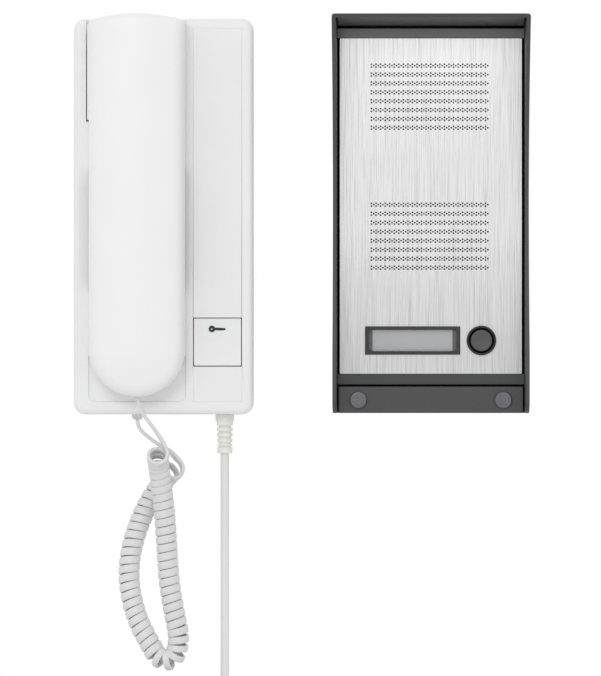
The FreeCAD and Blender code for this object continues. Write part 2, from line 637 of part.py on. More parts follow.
def release_button():
    """A square key cap, hollow behind, with a stem that presses the switch and a collar for the spring."""
    half = BUTTON_SIZE / 2
    rear = BASE_DEPTH - BUTTON_HEIGHT
    cap = rounded_block(BUTTON_X - half, BUTTON_X + half, rear, BASE_DEPTH, BUTTON_Z - half, BUTTON_Z + half,
                        BUTTON_CORNER)
    front = [e for e in cap.Edges if abs(e.BoundBox.YMax + BASE_DEPTH) < 1e-6 and e.BoundBox.YLength < 1e-6]
    cap = cap.makeChamfer(EDGE_BEVEL, front)
    dish_depth = BASE_DEPTH + BUTTON_DISH_RADIUS - BUTTON_DISH_SINK
    dish_start = at(BUTTON_X - 2 * half, BUTTON_Z, dish_depth)
    dish = Part.makeCylinder(BUTTON_DISH_RADIUS, 4 * half, dish_start, Vec(1, 0, 0))
    inner = half - BUTTON_WALL
    hollow = rounded_block(BUTTON_X - inner, BUTTON_X + inner,
                           rear - 1, BASE_DEPTH - BUTTON_WALL - BUTTON_DISH_SINK,
                           BUTTON_Z - inner, BUTTON_Z + inner, BUTTON_CORNER / 2)
    stem_end = button_stem_end()
    stem = pin(BUTTON_X, BUTTON_Z, BUTTON_STEM, stem_end, BASE_DEPTH - BUTTON_WALL)
    collar_rear = rear - BUTTON_COLLAR_DROP
    collar = pin(BUTTON_X, BUTTON_Z, BUTTON_COLLAR, collar_rear, collar_rear + BUTTON_COLLAR_THICKNESS)
    return cap.cut(Part.makeCompound([dish, hollow])).fuse([stem, collar]).removeSplitter()


def button_stem_end():
    """Depth of the release button's stem end, which stays just clear of the switch when pressed."""
    return BOARD_FRONT + SWITCH_HEIGHT + BUTTON_TRAVEL + SLIDE_GAP


def hook_plunger():
    """The cradle switch pin: a round cap through the cradle floor, a flange, and a thin rod to the switch."""
    head_end = HANDSET_SEAT - HOOK_HEAD_GAP
    cap = pin(HOOK_X, HOOK_Z, HOOK_DIAMETER, HOOK_FLANGE_DEPTH, head_end)
    tip = [e for e in cap.Edges if abs(e.BoundBox.YMin + head_end) < 1e-6 and e.BoundBox.YLength < 1e-6]
    cap = cap.makeChamfer(HOOK_BEVEL, tip)
    flange = pin(HOOK_X, HOOK_Z, HOOK_FLANGE, HOOK_FLANGE_DEPTH, HOOK_FLANGE_DEPTH + HOOK_FLANGE_THICKNESS)
    rod = pin(HOOK_X, HOOK_Z, HOOK_ROD, BOARD_FRONT + SWITCH_HEIGHT + SLIDE_GAP, HOOK_FLANGE_DEPTH + 1)
    return cap.fuse([flange, rod]).removeSplitter()


def tact_switch(x, z, depth0):
    """A small push switch that stands on a circuit board."""
    half = SWITCH_SIZE / 2
    top = depth0 + SWITCH_HEIGHT
    base = block(x - half, x + half, depth0, top - SWITCH_KEY_HEIGHT, z - half, z + half)
    return base.fuse(pin(x, z, SWITCH_KEY, top - SWITCH_KEY_HEIGHT, top)).removeSplitter()


def indoor_board():
    """The board along the right side, with a tab that reaches to the cradle switch."""
    board = block(BOARD_LEFT, BOARD_RIGHT, BOARD_DEPTH, BOARD_FRONT, BOARD_BOTTOM, BOARD_TOP)
    tab = block(BOARD_TAB_LEFT, BOARD_LEFT + 1, BOARD_DEPTH, BOARD_FRONT, HOOK_Z - BOARD_TAB_HEIGHT / 2,
                HOOK_Z + BOARD_TAB_HEIGHT / 2)
    return board.fuse(tab).removeSplitter()


def terminal_block(x, z, depth0):
    """A row of screw terminals with a screw well and a wire hole at each way."""
    half, top = TERMINAL_LENGTH / 2, depth0 + TERMINAL_HEIGHT
    body = block(x - half, x + half, depth0, top, z - TERMINAL_WIDTH / 2, z + TERMINAL_WIDTH / 2)
    wire_low, wire_half = depth0 + TERMINAL_WIRE_RISE, TERMINAL_WIRE_HOLE / 2
    cuts = []
    for i in range(TERMINAL_COUNT):
        way = x - half + TERMINAL_LENGTH / TERMINAL_COUNT * (i + 0.5)
        cuts.append(pin(way, z, TERMINAL_WELL, top - TERMINAL_WELL_DEPTH, top + 1))
        cuts.append(block(way - wire_half, way + wire_half, wire_low, wire_low + TERMINAL_WIRE_HOLE,
                          z - TERMINAL_WIDTH, z - TERMINAL_WELL / 3))
    return body.cut(Part.makeCompound(cuts))


def transformer():
    """A small laminated mains transformer with its winding showing at both ends."""
    depth0 = BACK_PLATE_THICKNESS + TRANSFORMER_PAD
    half_w, half_l = TRANSFORMER_WIDTH / 2, TRANSFORMER_LENGTH / 2
    half_core, half_coil = half_l - WINDING_OVERHANG, half_w - WINDING_INSET
    core = block(TRANSFORMER_X - half_w, TRANSFORMER_X + half_w, depth0, depth0 + TRANSFORMER_HEIGHT,
                 TRANSFORMER_Z - half_core, TRANSFORMER_Z + half_core)
    winding = rounded_block(TRANSFORMER_X - half_coil, TRANSFORMER_X + half_coil, depth0 + WINDING_DROP,
                            depth0 + TRANSFORMER_HEIGHT - WINDING_DROP, TRANSFORMER_Z - half_l,
                            TRANSFORMER_Z + half_l, WINDING_DROP)
    return core.fuse(winding).removeSplitter()


def capsule(x, z, diameter, depth0, depth1):
    """A round sound capsule with a stepped rim."""
    step = depth0 + (depth1 - depth0) * CAPSULE_RIM_SHARE
    rim = pin(x, z, diameter, depth0, step)
    return rim.fuse(pin(x, z, diameter * CAPSULE_BODY_SHARE, step, depth1)).removeSplitter()


def handset_outline(shrink, depth):
    """The handset seen from the front: a half round lower end, straight sides and a gently arched top."""
    r = HANDSET_RADIUS - shrink
    x, low, high = HANDSET_X, HANDSET_END_Z, HANDSET_TOP - shrink
    arch_top = high + HANDSET_TOP_RISE
    return Part.Wire([
        Part.Arc(at(x - r, low, depth), at(x, low - r, depth), at(x + r, low, depth)).toShape(),
        Part.LineSegment(at(x + r, low, depth), at(x + r, high, depth)).toShape(),
        Part.Arc(at(x + r, high, depth), at(x, arch_top, depth), at(x - r, high, depth)).toShape(),
        Part.LineSegment(at(x - r, high, depth), at(x - r, low, depth)).toShape(),
    ])


def handset_slab(shrink, depth0, depth1):
    """The handset's outline between two depths."""
    return Part.Face(handset_outline(shrink, depth0)).extrude(Vec(0, depth0 - depth1, 0))


def dome_flank(shrink, z, side):
    """One side of the handset's cross section: a straight flank and a tight shoulder, up to the dome."""
    half, big, small = HANDSET_RADIUS - shrink, HANDSET_DOME_RADIUS - shrink, HANDSET_EDGE_RADIUS - shrink
    centre = HANDSET_FRONT - HANDSET_DOME_RADIUS
    shoulder_x = half - small
    lean = math.asin(shoulder_x / (big - small))
    shoulder_d = centre + (big - small) * math.cos(lean)
    middle = (math.pi / 2 - lean) / 2

    def spot(across, depth):
        return at(HANDSET_X + side * across, z, depth)

    flank = Part.LineSegment(spot(half, HANDSET_PARTING), spot(half, shoulder_d)).toShape()
    end = spot(shoulder_x + small * math.sin(lean), shoulder_d + small * math.cos(lean))
    shoulder = Part.Arc(spot(half, shoulder_d),
                        spot(shoulder_x + small * math.cos(middle), shoulder_d + small * math.sin(middle)),
                        end).toShape()
    half_way = spot(big * math.sin(lean / 2), centre + big * math.cos(lean / 2))
    return flank, shoulder, half_way, end


def handset_dome(shrink):
    """The domed front half: a straight run of the cross section, closed below by half of it turned round."""
    z = HANDSET_END_Z
    big = HANDSET_DOME_RADIUS - shrink
    crown = at(HANDSET_X, z, HANDSET_FRONT - HANDSET_DOME_RADIUS + big)
    rear_middle = at(HANDSET_X, z, HANDSET_PARTING)
    right = dome_flank(shrink, z, 1)
    left = dome_flank(shrink, z, -1)
    rear = [edge.firstVertex().Point for edge in (right[0], left[0])]
    section = Part.Wire([Part.LineSegment(rear[1], rear[0]).toShape(), right[0], right[1],
                         Part.Arc(right[3], crown, left[3]).toShape(), reversed_edge(left[1]),
                         reversed_edge(left[0])])
    run = Part.Face(section).extrude(Vec(0, 0, HANDSET_TOP + HANDSET_TOP_RISE - z + 1))
    half = Part.Wire([Part.LineSegment(rear_middle, rear[0]).toShape(), right[0], right[1],
                      Part.Arc(right[3], right[2], crown).toShape(),
                      Part.LineSegment(crown, rear_middle).toShape()])
    end = Part.Face(half).revolve(Vec(HANDSET_X, 0, z), Vec(0, 1, 0), 180)
    whole = run.fuse(end).removeSplitter()
    half_width, rise, high = HANDSET_RADIUS - shrink, HANDSET_TOP_RISE, HANDSET_TOP - shrink
    arch = (half_width ** 2 + rise ** 2) / (2 * rise)
    below = Part.makeCylinder(arch, HANDSET_FRONT, at(HANDSET_X, high + rise - arch, 0), Vec(0, -1, 0))
    above = block(HANDSET_X - HANDSET_WIDTH, HANDSET_X + HANDSET_WIDTH, 0, HANDSET_FRONT,
                  high - HANDSET_WIDTH / 4, high + HANDSET_WIDTH)
    return whole.cut(above.cut(below))


def handset_outer_shell():
    """The smooth front half of the handset, with two screw towers inside."""
    outer = handset_dome(0)
    top = [e for e in outer.Edges
           if e.BoundBox.ZMin > HANDSET_TOP - 1 and e.BoundBox.YMin < -HANDSET_PARTING - 1]
    outer = outer.makeFillet(HANDSET_TOP_ROUND, top)
    shell = outer.cut(handset_dome(HANDSET_WALL))
    towers = []
    for z in HANDSET_SCREW_Z:
        tower = pin(HANDSET_X, z, HANDSET_SCREW_SHANK + 2 * SCREW_BOSS_WALL, HANDSET_PARTING + SCREW_GAP,
                    HANDSET_FRONT - HANDSET_WALL / 2)
        hole = pin(HANDSET_X, z, HANDSET_SCREW_SHANK + 2 * SCREW_GAP, HANDSET_PARTING,
                   GRIP_REAR + HANDSET_SCREW_HEAD_HEIGHT + HANDSET_SCREW_LENGTH)
        towers.append(tower.cut(hole))
    shell = shell.fuse(towers)
    notch = grommet(2 * SCREW_GAP)
    return shell.cut(notch).removeSplitter()


def grip_cut(shrink):
    """The hollow behind the grip, where the fingers go, with sloping ends."""
    deep = GRIP_REAR + shrink
    x0, x1 = HANDSET_X - HANDSET_WIDTH, HANDSET_X + HANDSET_WIDTH
    low, high = GRIP_BOTTOM - shrink, GRIP_TOP + shrink
    profile = polygon([at(x0, low, 0), at(x0, low, HANDSET_SEAT + shrink), at(x0, low + GRIP_BLEND, deep),
                       at(x0, high - GRIP_BLEND, deep), at(x0, high, HANDSET_SEAT + shrink), at(x0, high, 0)])
    body = Part.Face(profile).extrude(Vec(x1 - x0, 0, 0))
    bends = [e for e in body.Edges if e.BoundBox.XLength > HANDSET_WIDTH
             and abs(e.BoundBox.YMin + deep) < 1e-6 and e.BoundBox.YLength < 1e-6]
    return body.makeFillet(GRIP_BLEND, bends)


def handset_rear_mass(shrink):
    """The rear half of the handset before hollowing: seat, ear block and mouth block."""
    seat = handset_slab(shrink, HANDSET_SEAT + shrink, HANDSET_PARTING).cut(grip_cut(shrink))
    half = HANDSET_RADIUS - EAR_BLOCK_INSET - shrink
    ear = rounded_block(HANDSET_X - half, HANDSET_X + half, EAR_REAR + shrink, HANDSET_PARTING,
                        EAR_BLOCK_BOTTOM + shrink, HANDSET_TOP - EAR_BLOCK_INSET - shrink, EAR_BLOCK_CORNER)
    mouth = pin(HANDSET_X, MOUTH_Z, MOUTH_DIAMETER - 2 * shrink, MOUTH_REAR + shrink, HANDSET_PARTING)
    return seat.fuse([ear, mouth])


def handset_inner_shell():
    """The rear half of the handset, with sound holes at the ear and mouth and two countersunk screw holes."""
    outer = handset_rear_mass(0)
    hollow = handset_rear_mass(HANDSET_WALL)
    shell = outer.cut(hollow)
    pads = []
    cuts = []
    for z in HANDSET_SCREW_Z:
        pads.append(pin(HANDSET_X, z, HANDSET_SCREW_HEAD + 2 * SCREW_BOSS_WALL, GRIP_REAR,
                        HANDSET_PARTING - GRIP_HEAD_GAP))
        cuts.append(pin(HANDSET_X, z, HANDSET_SCREW_SHANK + 4 * SCREW_GAP,
                        GRIP_REAR - 1, HANDSET_PARTING + 1))
        cuts.append(pin(HANDSET_X, z, HANDSET_SCREW_HEAD + 4 * SCREW_GAP, GRIP_REAR - 1,
                        GRIP_REAR + HANDSET_SCREW_HEAD_HEIGHT))
    for x, z in sound_hole_places(EARPIECE_Z, EAR_HOLE_RING, EAR_HOLES):
        cuts.append(pin(x, z, SOUND_HOLE, EAR_REAR - 1, EAR_REAR + HANDSET_WALL + 1))
    for x, z in sound_hole_places(MOUTH_Z, MOUTH_HOLE_RING, MOUTH_HOLES):
        cuts.append(pin(x, z, SOUND_HOLE, MOUTH_REAR - 1, MOUTH_REAR + HANDSET_WALL + 1))
    return shell.fuse(pads).cut(Part.makeCompound(cuts)).removeSplitter()


def sound_hole_places(z, radius, count):
    """A ring of sound holes with one in its middle."""
    places = [(HANDSET_X, z)]
    for i in range(count):
        turn = 2 * math.pi * i / count
        places.append((HANDSET_X + radius * math.cos(turn), z + radius * math.sin(turn)))
    return places


def handset_screws():
    """Two screws from the grip hollow into the towers of the outer shell."""
    depth = GRIP_REAR + HANDSET_SCREW_HEAD_HEIGHT
    return Part.makeCompound([
        seat_screw(HANDSET_X, z, HANDSET_SCREW_SHANK, HANDSET_SCREW_HEAD,
                   HANDSET_SCREW_HEAD_HEIGHT - GRIP_HEAD_GAP,
                   depth, depth + HANDSET_SCREW_LENGTH - 1) for z in HANDSET_SCREW_Z])


def grommet(grow):
    """The round collar that the cord leaves the handset through, grown in width where asked."""
    return upright(GROMMET_X, GROMMET_DEPTH, GROMMET_DIAMETER + grow,
                   GROMMET_END, HANDSET_BOTTOM + GROMMET_LENGTH)


def spline_through(points):
    """The smooth curve of a cord: a clamped second-degree spline with the points as its control points."""
    curve = Part.BSplineCurve()
    curve.buildFromPoles(points, False, 2)
    return curve


def below_base(x, depth, drop):
    """A point of the handset cord: across from the handset's middle, off the wall, down from the base."""
    return Vec(HANDSET_X + x, -depth, BASE_BOTTOM - drop)


# Routes of the handset cord, as places for below_base
CURL_ROUTE = [
    (10.5, 39.0, 19.9), (10.4, 31.5, 23.6), (12.0, 25.6, 32.5), (14.0, 23.0, 45.0), (15.4, 21.5, 60.0),
    (16.0, 20.5, 73.0), (16.8, 20.0, 85.0), (18.8, 20.0, 98.5), (21.6, 20.0, 112.0), (18.6, 20.0, 122.6),
    (11.0, 19.8, 122.8), (6.0, 19.0, 114.2), (0.6, 18.0, 104.5), (-3.0, 17.0, 91.5), (-4.1, 16.0, 79.0),
    (-2.6, 15.0, 66.0), (1.6, 13.5, 53.0), (6.6, 12.8, 42.3), (12.6, 13.0, 34.0), (18.4, 16.0, 28.0),
    (20.4, 22.0, 25.6),
]
HANDSET_TAIL_ROUTE = [(GROMMET_OFFSET, GROMMET_DEPTH, -4.6), (3.9, 38.6, 1.0), (8.6, 37.4, 7.2)]
BASE_TAIL_ROUTE = [(-PLUG_OFFSET, PLUG_DEPTH, 5.8), (3.4, 14.3, 10.0), (9.6, 15.2, 14.6)]


def turned_frames(curve, steps):
    """Points along a curve with a frame that never twists about it, and the bend at each."""
    length = curve.length()
    first = curve.FirstParameter
    points, frames = [], []
    for i in range(steps + 1):
        u = curve.parameterAtDistance(length * i / steps, first)
        t = Vec(*curve.tangent(u)[0])
        t.normalize()
        points.append((curve.value(u), t))
    side = Vec(0, 0, 1).cross(points[0][1])
    side.normalize()
    frames.append(side)
    for (p0, t0), (p1, t1) in zip(points, points[1:]):
        v1 = p1 - p0
        c1 = v1.dot(v1)
        r_l = frames[-1] - v1 * (2 / c1 * v1.dot(frames[-1]))
        t_l = t0 - v1 * (2 / c1 * v1.dot(t0))
        v2 = t1 - t_l
        c2 = v2.dot(v2)
        frames.append(r_l - v2 * (2 / c2 * v2.dot(r_l)) if c2 > 1e-12 else r_l)
    bends = []
    step = length / steps
    for i in range(steps + 1):
        a, b = points[max(i - 1, 0)][1], points[min(i + 1, steps)][1]
        bends.append((b - a).Length / (step * (min(i + 1, steps) - max(i - 1, 0))))
    return points, frames, bends, step


def curly_points(curve, radius, pitch, wire, start_turn, steps=1600):
    """Points a quarter turn apart on a coil wound around a curve, each with its direction."""
    points, frames, bends, step = turned_frames(curve, steps)
    phase = [start_turn]
    for bend in bends[:-1]:
        local = max(pitch, (wire + CURL_LEAST_GAP) / (1 - bend * radius))
        phase.append(phase[-1] + 2 * math.pi * step / local)
    line = []
    for i, ((centre, tangent), side, turn) in enumerate(zip(points, frames, phase)):
        other = tangent.cross(side)
        flare = 1 + (CURL_END_FLARE - 1) * math.exp(-(steps - i) * step / CURL_FLARE_LENGTH)
        line.append(centre + (side * math.cos(turn) + other * math.sin(turn)) * radius * flare)
    knots = []
    whole = phase[-1] - phase[0] - math.radians(CURL_END_TRIM_DEGREES)
    count = round(whole / (math.pi / 2))
    index = 0
    for k in range(count + 1):
        target = phase[0] + k * whole / count
        while index < steps - 1 and phase[index + 1] < target:
            index += 1
        share = (target - phase[index]) / (phase[index + 1] - phase[index])
        here = line[index] + (line[index + 1] - line[index]) * share
        before, after = line[max(index - 1, 0)], line[min(index + 2, steps)]
        direction = after - before
        direction.normalize()
        knots.append((here, direction))
    return knots


def arc_through(start, tangent, end):
    """The arc that leaves start along tangent and ends at end, or a line where the two agree."""
    chord = end - start
    sideways = chord - tangent * chord.dot(tangent)
    if sideways.Length < 1e-6 * chord.Length:
        return Part.LineSegment(start, end).toShape()
    normal = Vec(sideways)
    normal.normalize()
    radius = chord.dot(chord) / (2 * chord.dot(normal))
    centre = start + normal * radius
    middle = (start + end) * 0.5 - centre
    middle.normalize()
    return Part.Arc(start, centre + middle * radius, end).toShape()


def biarc(start, t1, end, t2):
    """Two arcs that join start to end, smooth at both ends and where they meet."""
    v = end - start
    t = t1 + t2
    k = 2 * (1 - t1.dot(t2))
    if k < 1e-9:
        d = v.dot(v) / (4 * v.dot(t2))
    else:
        d = (-v.dot(t) + math.sqrt(v.dot(t) ** 2 + k * v.dot(v))) / k
    joint = (start + end + (t1 - t2) * d) * 0.5
    back = arc_through(end, t2 * -1, joint)
    return [arc_through(start, t1, joint), reversed_edge(back)]


def reversed_edge(edge):
    """The same arc, drawn the other way."""
    a, b = edge.firstVertex().Point, edge.lastVertex().Point
    if edge.Curve.TypeId == "Part::GeomLine":
        return Part.LineSegment(b, a).toShape()
    first, last = edge.ParameterRange
    return Part.Arc(b, edge.valueAt((first + last) / 2), a).toShape()


def wound_path(knots, lead_in, lead_out):
    """A smooth wire through the knots, straight for a little way at both ends."""
    first, last = knots[0], knots[-1]
    edges = [Part.LineSegment(first[0] - first[1] * lead_in, first[0]).toShape()]
    for (p1, t1), (p2, t2) in zip(knots, knots[1:]):
        edges += biarc(p1, t1, p2, t2)
    edges.append(Part.LineSegment(last[0], last[0] + last[1] * lead_out).toShape())
    return Part.Wire(edges)


def swept(path, section):
    """A solid along a path, from a closed wire that stands square to its start."""
    return path.makePipeShell([section], True, False)


def flat_sided_section(path, size, sides):
    """A regular section, square to the start of a path."""
    edge = path.OrderedEdges[0]
    start = edge.firstVertex().Point
    along = edge.lastVertex().Point - start
    along.normalize()
    across = along.cross(Vec(0.3, 0.2, 1.0))
    across.normalize()
    up = along.cross(across)
    radius = size / 2 / math.cos(math.pi / sides)
    points = []
    for i in range(sides):
        turn = 2 * math.pi * (i + 0.5) / sides
        points.append(start + (across * math.cos(turn) + up * math.sin(turn)) * radius)
    return polygon(points)


def least_gap(path, size, spacing=1.0):
    """Least clear distance of a wound tube to itself, measured on points along its centre line."""
    count = int(path.Length / spacing)
    points = path.discretize(Number=count)
    skip = int(4 * size / spacing) + 1
    least = 1e9
    for i in range(0, len(points), 2):
        a = points[i]
        for j in range(i + skip, len(points)):
            b = points[j]
            dx = a.x - b.x
            if dx > least or dx < -least:
                continue
            gap = a.distanceToPoint(b)
            if gap < least:
                least = gap
    return least - size


def rounded_run(points, name, diameter):
    """Straight runs joined by arcs, each as large as its two runs allow; prints the radii."""
    edges = []
    here = points[0]
    radii = []
    for i in range(1, len(points) - 1):
        a, b, c = points[i - 1], points[i], points[i + 1]
        u, w = a - b, c - b
        short = min(u.Length, w.Length)
        u.normalize()
        w.normalize()
        turn = math.pi - u.getAngle(w)
        cut = 0.45 * short
        radii.append(cut / math.tan(turn / 2))
        start, end = b + u * cut, b + w * cut
        bisector = u + w
        bisector.normalize()
        reach = cut / math.cos(u.getAngle(w) / 2)
        centre = b + bisector * reach
        middle = centre - bisector * radii[-1]
        edges.append(Part.LineSegment(here, start).toShape())
        edges.append(Part.Arc(start, middle, end).toShape())
        here = end
    edges.append(Part.LineSegment(here, points[-1]).toShape())
    path = Part.Wire(edges)
    print(name, "length", round(path.Length, 1), "radii in diameters",
          [round(r / diameter, 1) for r in radii])
    return path


def cord_tube(points, diameter, name):
    """A tube with flat sides along straight runs and arcs."""
    path = rounded_run(points, name, diameter)
    section = flat_sided_section(path, diameter, TAIL_SIDES)
    tube = swept(path, section)
    expected = Part.Face(section).Area * path.Length
    print(name, "volume against section times length", round(tube.Volume / expected, 4))
    return tube


def handset_cord():
    """The curly cord and its two plain tails, which meet it end to end."""
    radius = (CURL_DIAMETER - CORD_WIRE) / 2
    curve = spline_through([below_base(*place) for place in CURL_ROUTE])
    knots = curly_points(curve, radius, CURL_PITCH, CORD_WIRE, math.radians(CURL_START_DEGREES))
    path = wound_path(knots, CORD_WIRE, CORD_WIRE)
    curls = swept(path, flat_sided_section(path, CORD_WIRE, CURL_SIDES))
    print("curly cord: route", round(curve.length(), 1), "curls", round((len(knots) - 1) / 4, 2),
          "wire length", round(path.Length, 1), "least gap", round(least_gap(path, CORD_WIRE), 2))
    (first, d_first), (last, d_last) = knots[0], knots[-1]
    top_end = first - d_first * CORD_WIRE
    base_end = last + d_last * CORD_WIRE
    top_before = top_end - d_first * TAIL_LEAD_IN
    base_before = base_end + d_last * TAIL_LEAD_IN
    handset_exit = at(GROMMET_X, GROMMET_END, GROMMET_DEPTH)
    base_exit = at(PLUG_X, BASE_BOTTOM - PLUG_DROP, PLUG_DEPTH)
    handset_way = [below_base(*place) for place in HANDSET_TAIL_ROUTE]
    base_way = [below_base(*place) for place in BASE_TAIL_ROUTE]
    upper = cord_tube([handset_exit] + handset_way + [top_before, top_end], CORD_TAIL, "handset tail")
    lower = cord_tube([base_exit] + base_way + [base_before, base_end], CORD_TAIL, "base tail")
    return {"handset_cord_curls": curls, "handset_cord_upper_tail": upper, "handset_cord_lower_tail": lower}


def base_plug():
    """The small clear plug of the handset cord, clicked into the base from below."""
    low = BASE_BOTTOM - PLUG_DROP

    def slab(share, z0, z1):
        """A share of the plug's section between two heights."""
        half_w, half_t = share * PLUG_WIDTH / 2, share * PLUG_THICKNESS / 2
        return block(PLUG_X - half_w, PLUG_X + half_w, PLUG_DEPTH - half_t, PLUG_DEPTH + half_t, z0, z1)

    body = slab(1.0, low + PLUG_FOOT, BASE_BOTTOM + PLUG_INSERTION)
    return body.fuse(slab(0.8, low, low + PLUG_FOOT)).removeSplitter()


def strain_relief():
    """The ribbed sleeve that protects the lead where it leaves the base."""
    top = BASE_BOTTOM
    low = top - RELIEF_LENGTH
    flange_low = top - RELIEF_FLANGE_HEIGHT
    r1, r2 = RELIEF_TOP_DIAMETER / 2, RELIEF_BOTTOM_DIAMETER / 2
    cone_low = low + RELIEF_COLLAR_HEIGHT
    neck_top, neck = cone_low + RELIEF_NECK_HEIGHT, r2 - RELIEF_NECK_CUT
    profile = polygon([
        Vec(0, 0, top + COVER_WALL), Vec(r1, 0, top + COVER_WALL), Vec(r1, 0, top - SCREW_GAP),
        Vec(RELIEF_FLANGE / 2, 0, top - SCREW_GAP), Vec(RELIEF_FLANGE / 2, 0, flange_low),
        Vec(r1, 0, flange_low), Vec(r2, 0, neck_top), Vec(neck, 0, neck_top), Vec(neck, 0, cone_low),
        Vec(RELIEF_COLLAR / 2, 0, cone_low), Vec(RELIEF_COLLAR / 2, 0, low), Vec(0, 0, low)])
    sleeve = Part.Face(profile).revolve(Vec(0, 0, 0), Vec(0, 0, 1), 360)
    sleeve.translate(at(LEAD_X, 0, LEAD_DEPTH))
    step = (flange_low - neck_top) / (RELIEF_SLITS + 0.5)
    half_slit = RELIEF_SLIT_HEIGHT / 2
    slits = []
    for i in range(RELIEF_SLITS):
        z = flange_low - step * (i + 1)
        around = upright(LEAD_X, LEAD_DEPTH, RELIEF_FLANGE, z - half_slit, z + half_slit)
        core = upright(LEAD_X, LEAD_DEPTH, 2 * (r2 - RELIEF_SLIT_DEPTH), z - half_slit, z + half_slit)
        slits.append(around.cut(core))
    return sleeve.cut(Part.makeCompound(slits))


def coil_knots():
    """Half-turn points of the wound lead: layers that spiral in and out, each a pitch further out."""
    centre_x = LEAD_X - COIL_OUTER_RADIUS
    halves = 2 * COIL_TURNS_PER_LAYER
    total = halves * COIL_LAYERS
    fine = 48

    def spot(q):
        """Place on the coil after q half turns."""
        layer = min(int(q / halves), COIL_LAYERS - 1)
        part = q / halves - layer
        inward = part if layer % 2 == 0 else 1 - part
        radius = COIL_OUTER_RADIUS - inward * COIL_PITCH * COIL_TURNS_PER_LAYER
        climb = 0.0
        for joint in range(1, COIL_LAYERS):
            share = q - joint * halves + 0.5
            share = min(max(share, 0.0), 1.0)
            climb += share * share * (3 - 2 * share)
        turn = -q * math.pi
        return Vec(centre_x + radius * math.cos(turn), -LEAD_DEPTH - climb * COIL_PITCH,
                   COIL_Z + radius * math.sin(turn))

    knots = []
    for q in range(total + 1):
        before, after = spot(max(q - 1 / fine, 0)), spot(min(q + 1 / fine, total))
        direction = after - before
        if q in (0, total):
            direction = Vec(0, 0, -1)
        direction.normalize()
        knots.append((spot(q), direction))
    return knots


def mains_lead():
    """The straight drop of the lead, its put-away coil, the short tail, the plug on it and the tie."""
    knots = coil_knots()
    path = wound_path(knots, LEAD_DIAMETER, LEAD_DIAMETER)
    coil = swept(path, flat_sided_section(path, LEAD_DIAMETER, LEAD_SIDES))
    top = BASE_BOTTOM - RELIEF_LENGTH
    coil_top = COIL_Z + LEAD_DIAMETER
    drop = upright(LEAD_X, LEAD_DEPTH, LEAD_DIAMETER, coil_top, top)
    end = knots[-1][0]
    tail_top = end.z - LEAD_DIAMETER
    tail_low = tail_top - LEAD_TAIL_LENGTH
    depth = -end.y
    tail = upright(end.x, depth, LEAD_DIAMETER, tail_low, tail_top)
    print("mains lead: coil", round(path.Length, 1), "whole length",
          round(path.Length + top - coil_top + LEAD_TAIL_LENGTH, 1), "least gap",
          round(least_gap(path, LEAD_DIAMETER), 2))
    body, pins = europlug(end.x, depth, tail_low)
    return {"lead_drop": drop, "lead_coil": coil, "lead_tail": tail, "lead_tie": lead_tie(depth),
            "lead_plug_body": body, "lead_plug_pins": pins}


def europlug(x, depth, z):
    """A flat two-pin plug, hanging pins down, whose pins stand on thinner roots held in the body."""
    z_body = z - EUROPLUG_NECK
    z_face = z_body - EUROPLUG_BODY
    half_w, half_t = EUROPLUG_WIDTH / 2, EUROPLUG_THICKNESS / 2

    def section(w, t, zz):
        """A flat hexagonal section of the plug."""
        slope = EUROPLUG_FLAT_SHARE * w
        return polygon([Vec(x - w, -depth, zz), Vec(x - slope, -depth - t, zz),
                        Vec(x + slope, -depth - t, zz), Vec(x + w, -depth, zz),
                        Vec(x + slope, -depth + t, zz), Vec(x - slope, -depth + t, zz)])

    body = Part.makeLoft([
        section(half_w, half_t, z_face), section(half_w, half_t, z_face + EUROPLUG_STRAIGHT),
        section(EUROPLUG_NECK_WIDTH / 2, EUROPLUG_NECK_THICKNESS / 2, z_body)], True, True)
    neck = Part.makeCone(NECK_LOW_RADIUS, NECK_TOP_RADIUS, EUROPLUG_NECK, Vec(x, -depth, z_body),
                         Vec(0, 0, 1))
    body = body.fuse(neck)
    pins = []
    for side in (-1, 1):
        xp = x + side * PIN_SPACING / 2
        shaft = upright(xp, depth, PIN_DIAMETER, z_face - PIN_LENGTH, z_face - PIN_SHOULDER_GAP)
        tip = [e for e in shaft.Edges if abs(e.BoundBox.ZMax - z_face + PIN_LENGTH) < 1e-6]
        root = upright(xp, depth, PIN_ROOT_DIAMETER, z_face - PIN_SHOULDER_GAP - 1, z_face + PIN_ROOT)
        pins.append(shaft.makeChamfer(PIN_BEVEL, tip).fuse(root))
        body = body.cut(upright(xp, depth, PIN_ROOT_DIAMETER, z_face - 1, z_face + PIN_ROOT))
    return body, Part.makeCompound(pins)


def lead_tie(last_depth):
    """A strap around all the turns, on the far side from the drop."""
    centre_x = LEAD_X - COIL_OUTER_RADIUS
    room = LEAD_DIAMETER / 2 + TIE_SLACK
    inner_r = COIL_OUTER_RADIUS - COIL_PITCH * COIL_TURNS_PER_LAYER
    z0, z1 = COIL_Z + inner_r - room - TIE_SLACK, COIL_Z + COIL_OUTER_RADIUS + room
    d0, d1 = LEAD_DEPTH - room, last_depth + room
    t = TIE_THICKNESS
    outer = block(centre_x - TIE_WIDTH / 2, centre_x + TIE_WIDTH / 2, d0 - t, d1 + t, z0 - t, z1 + t)
    inner = block(centre_x - TIE_WIDTH, centre_x + TIE_WIDTH, d0, d1, z0, z1)
    return outer.cut(inner)


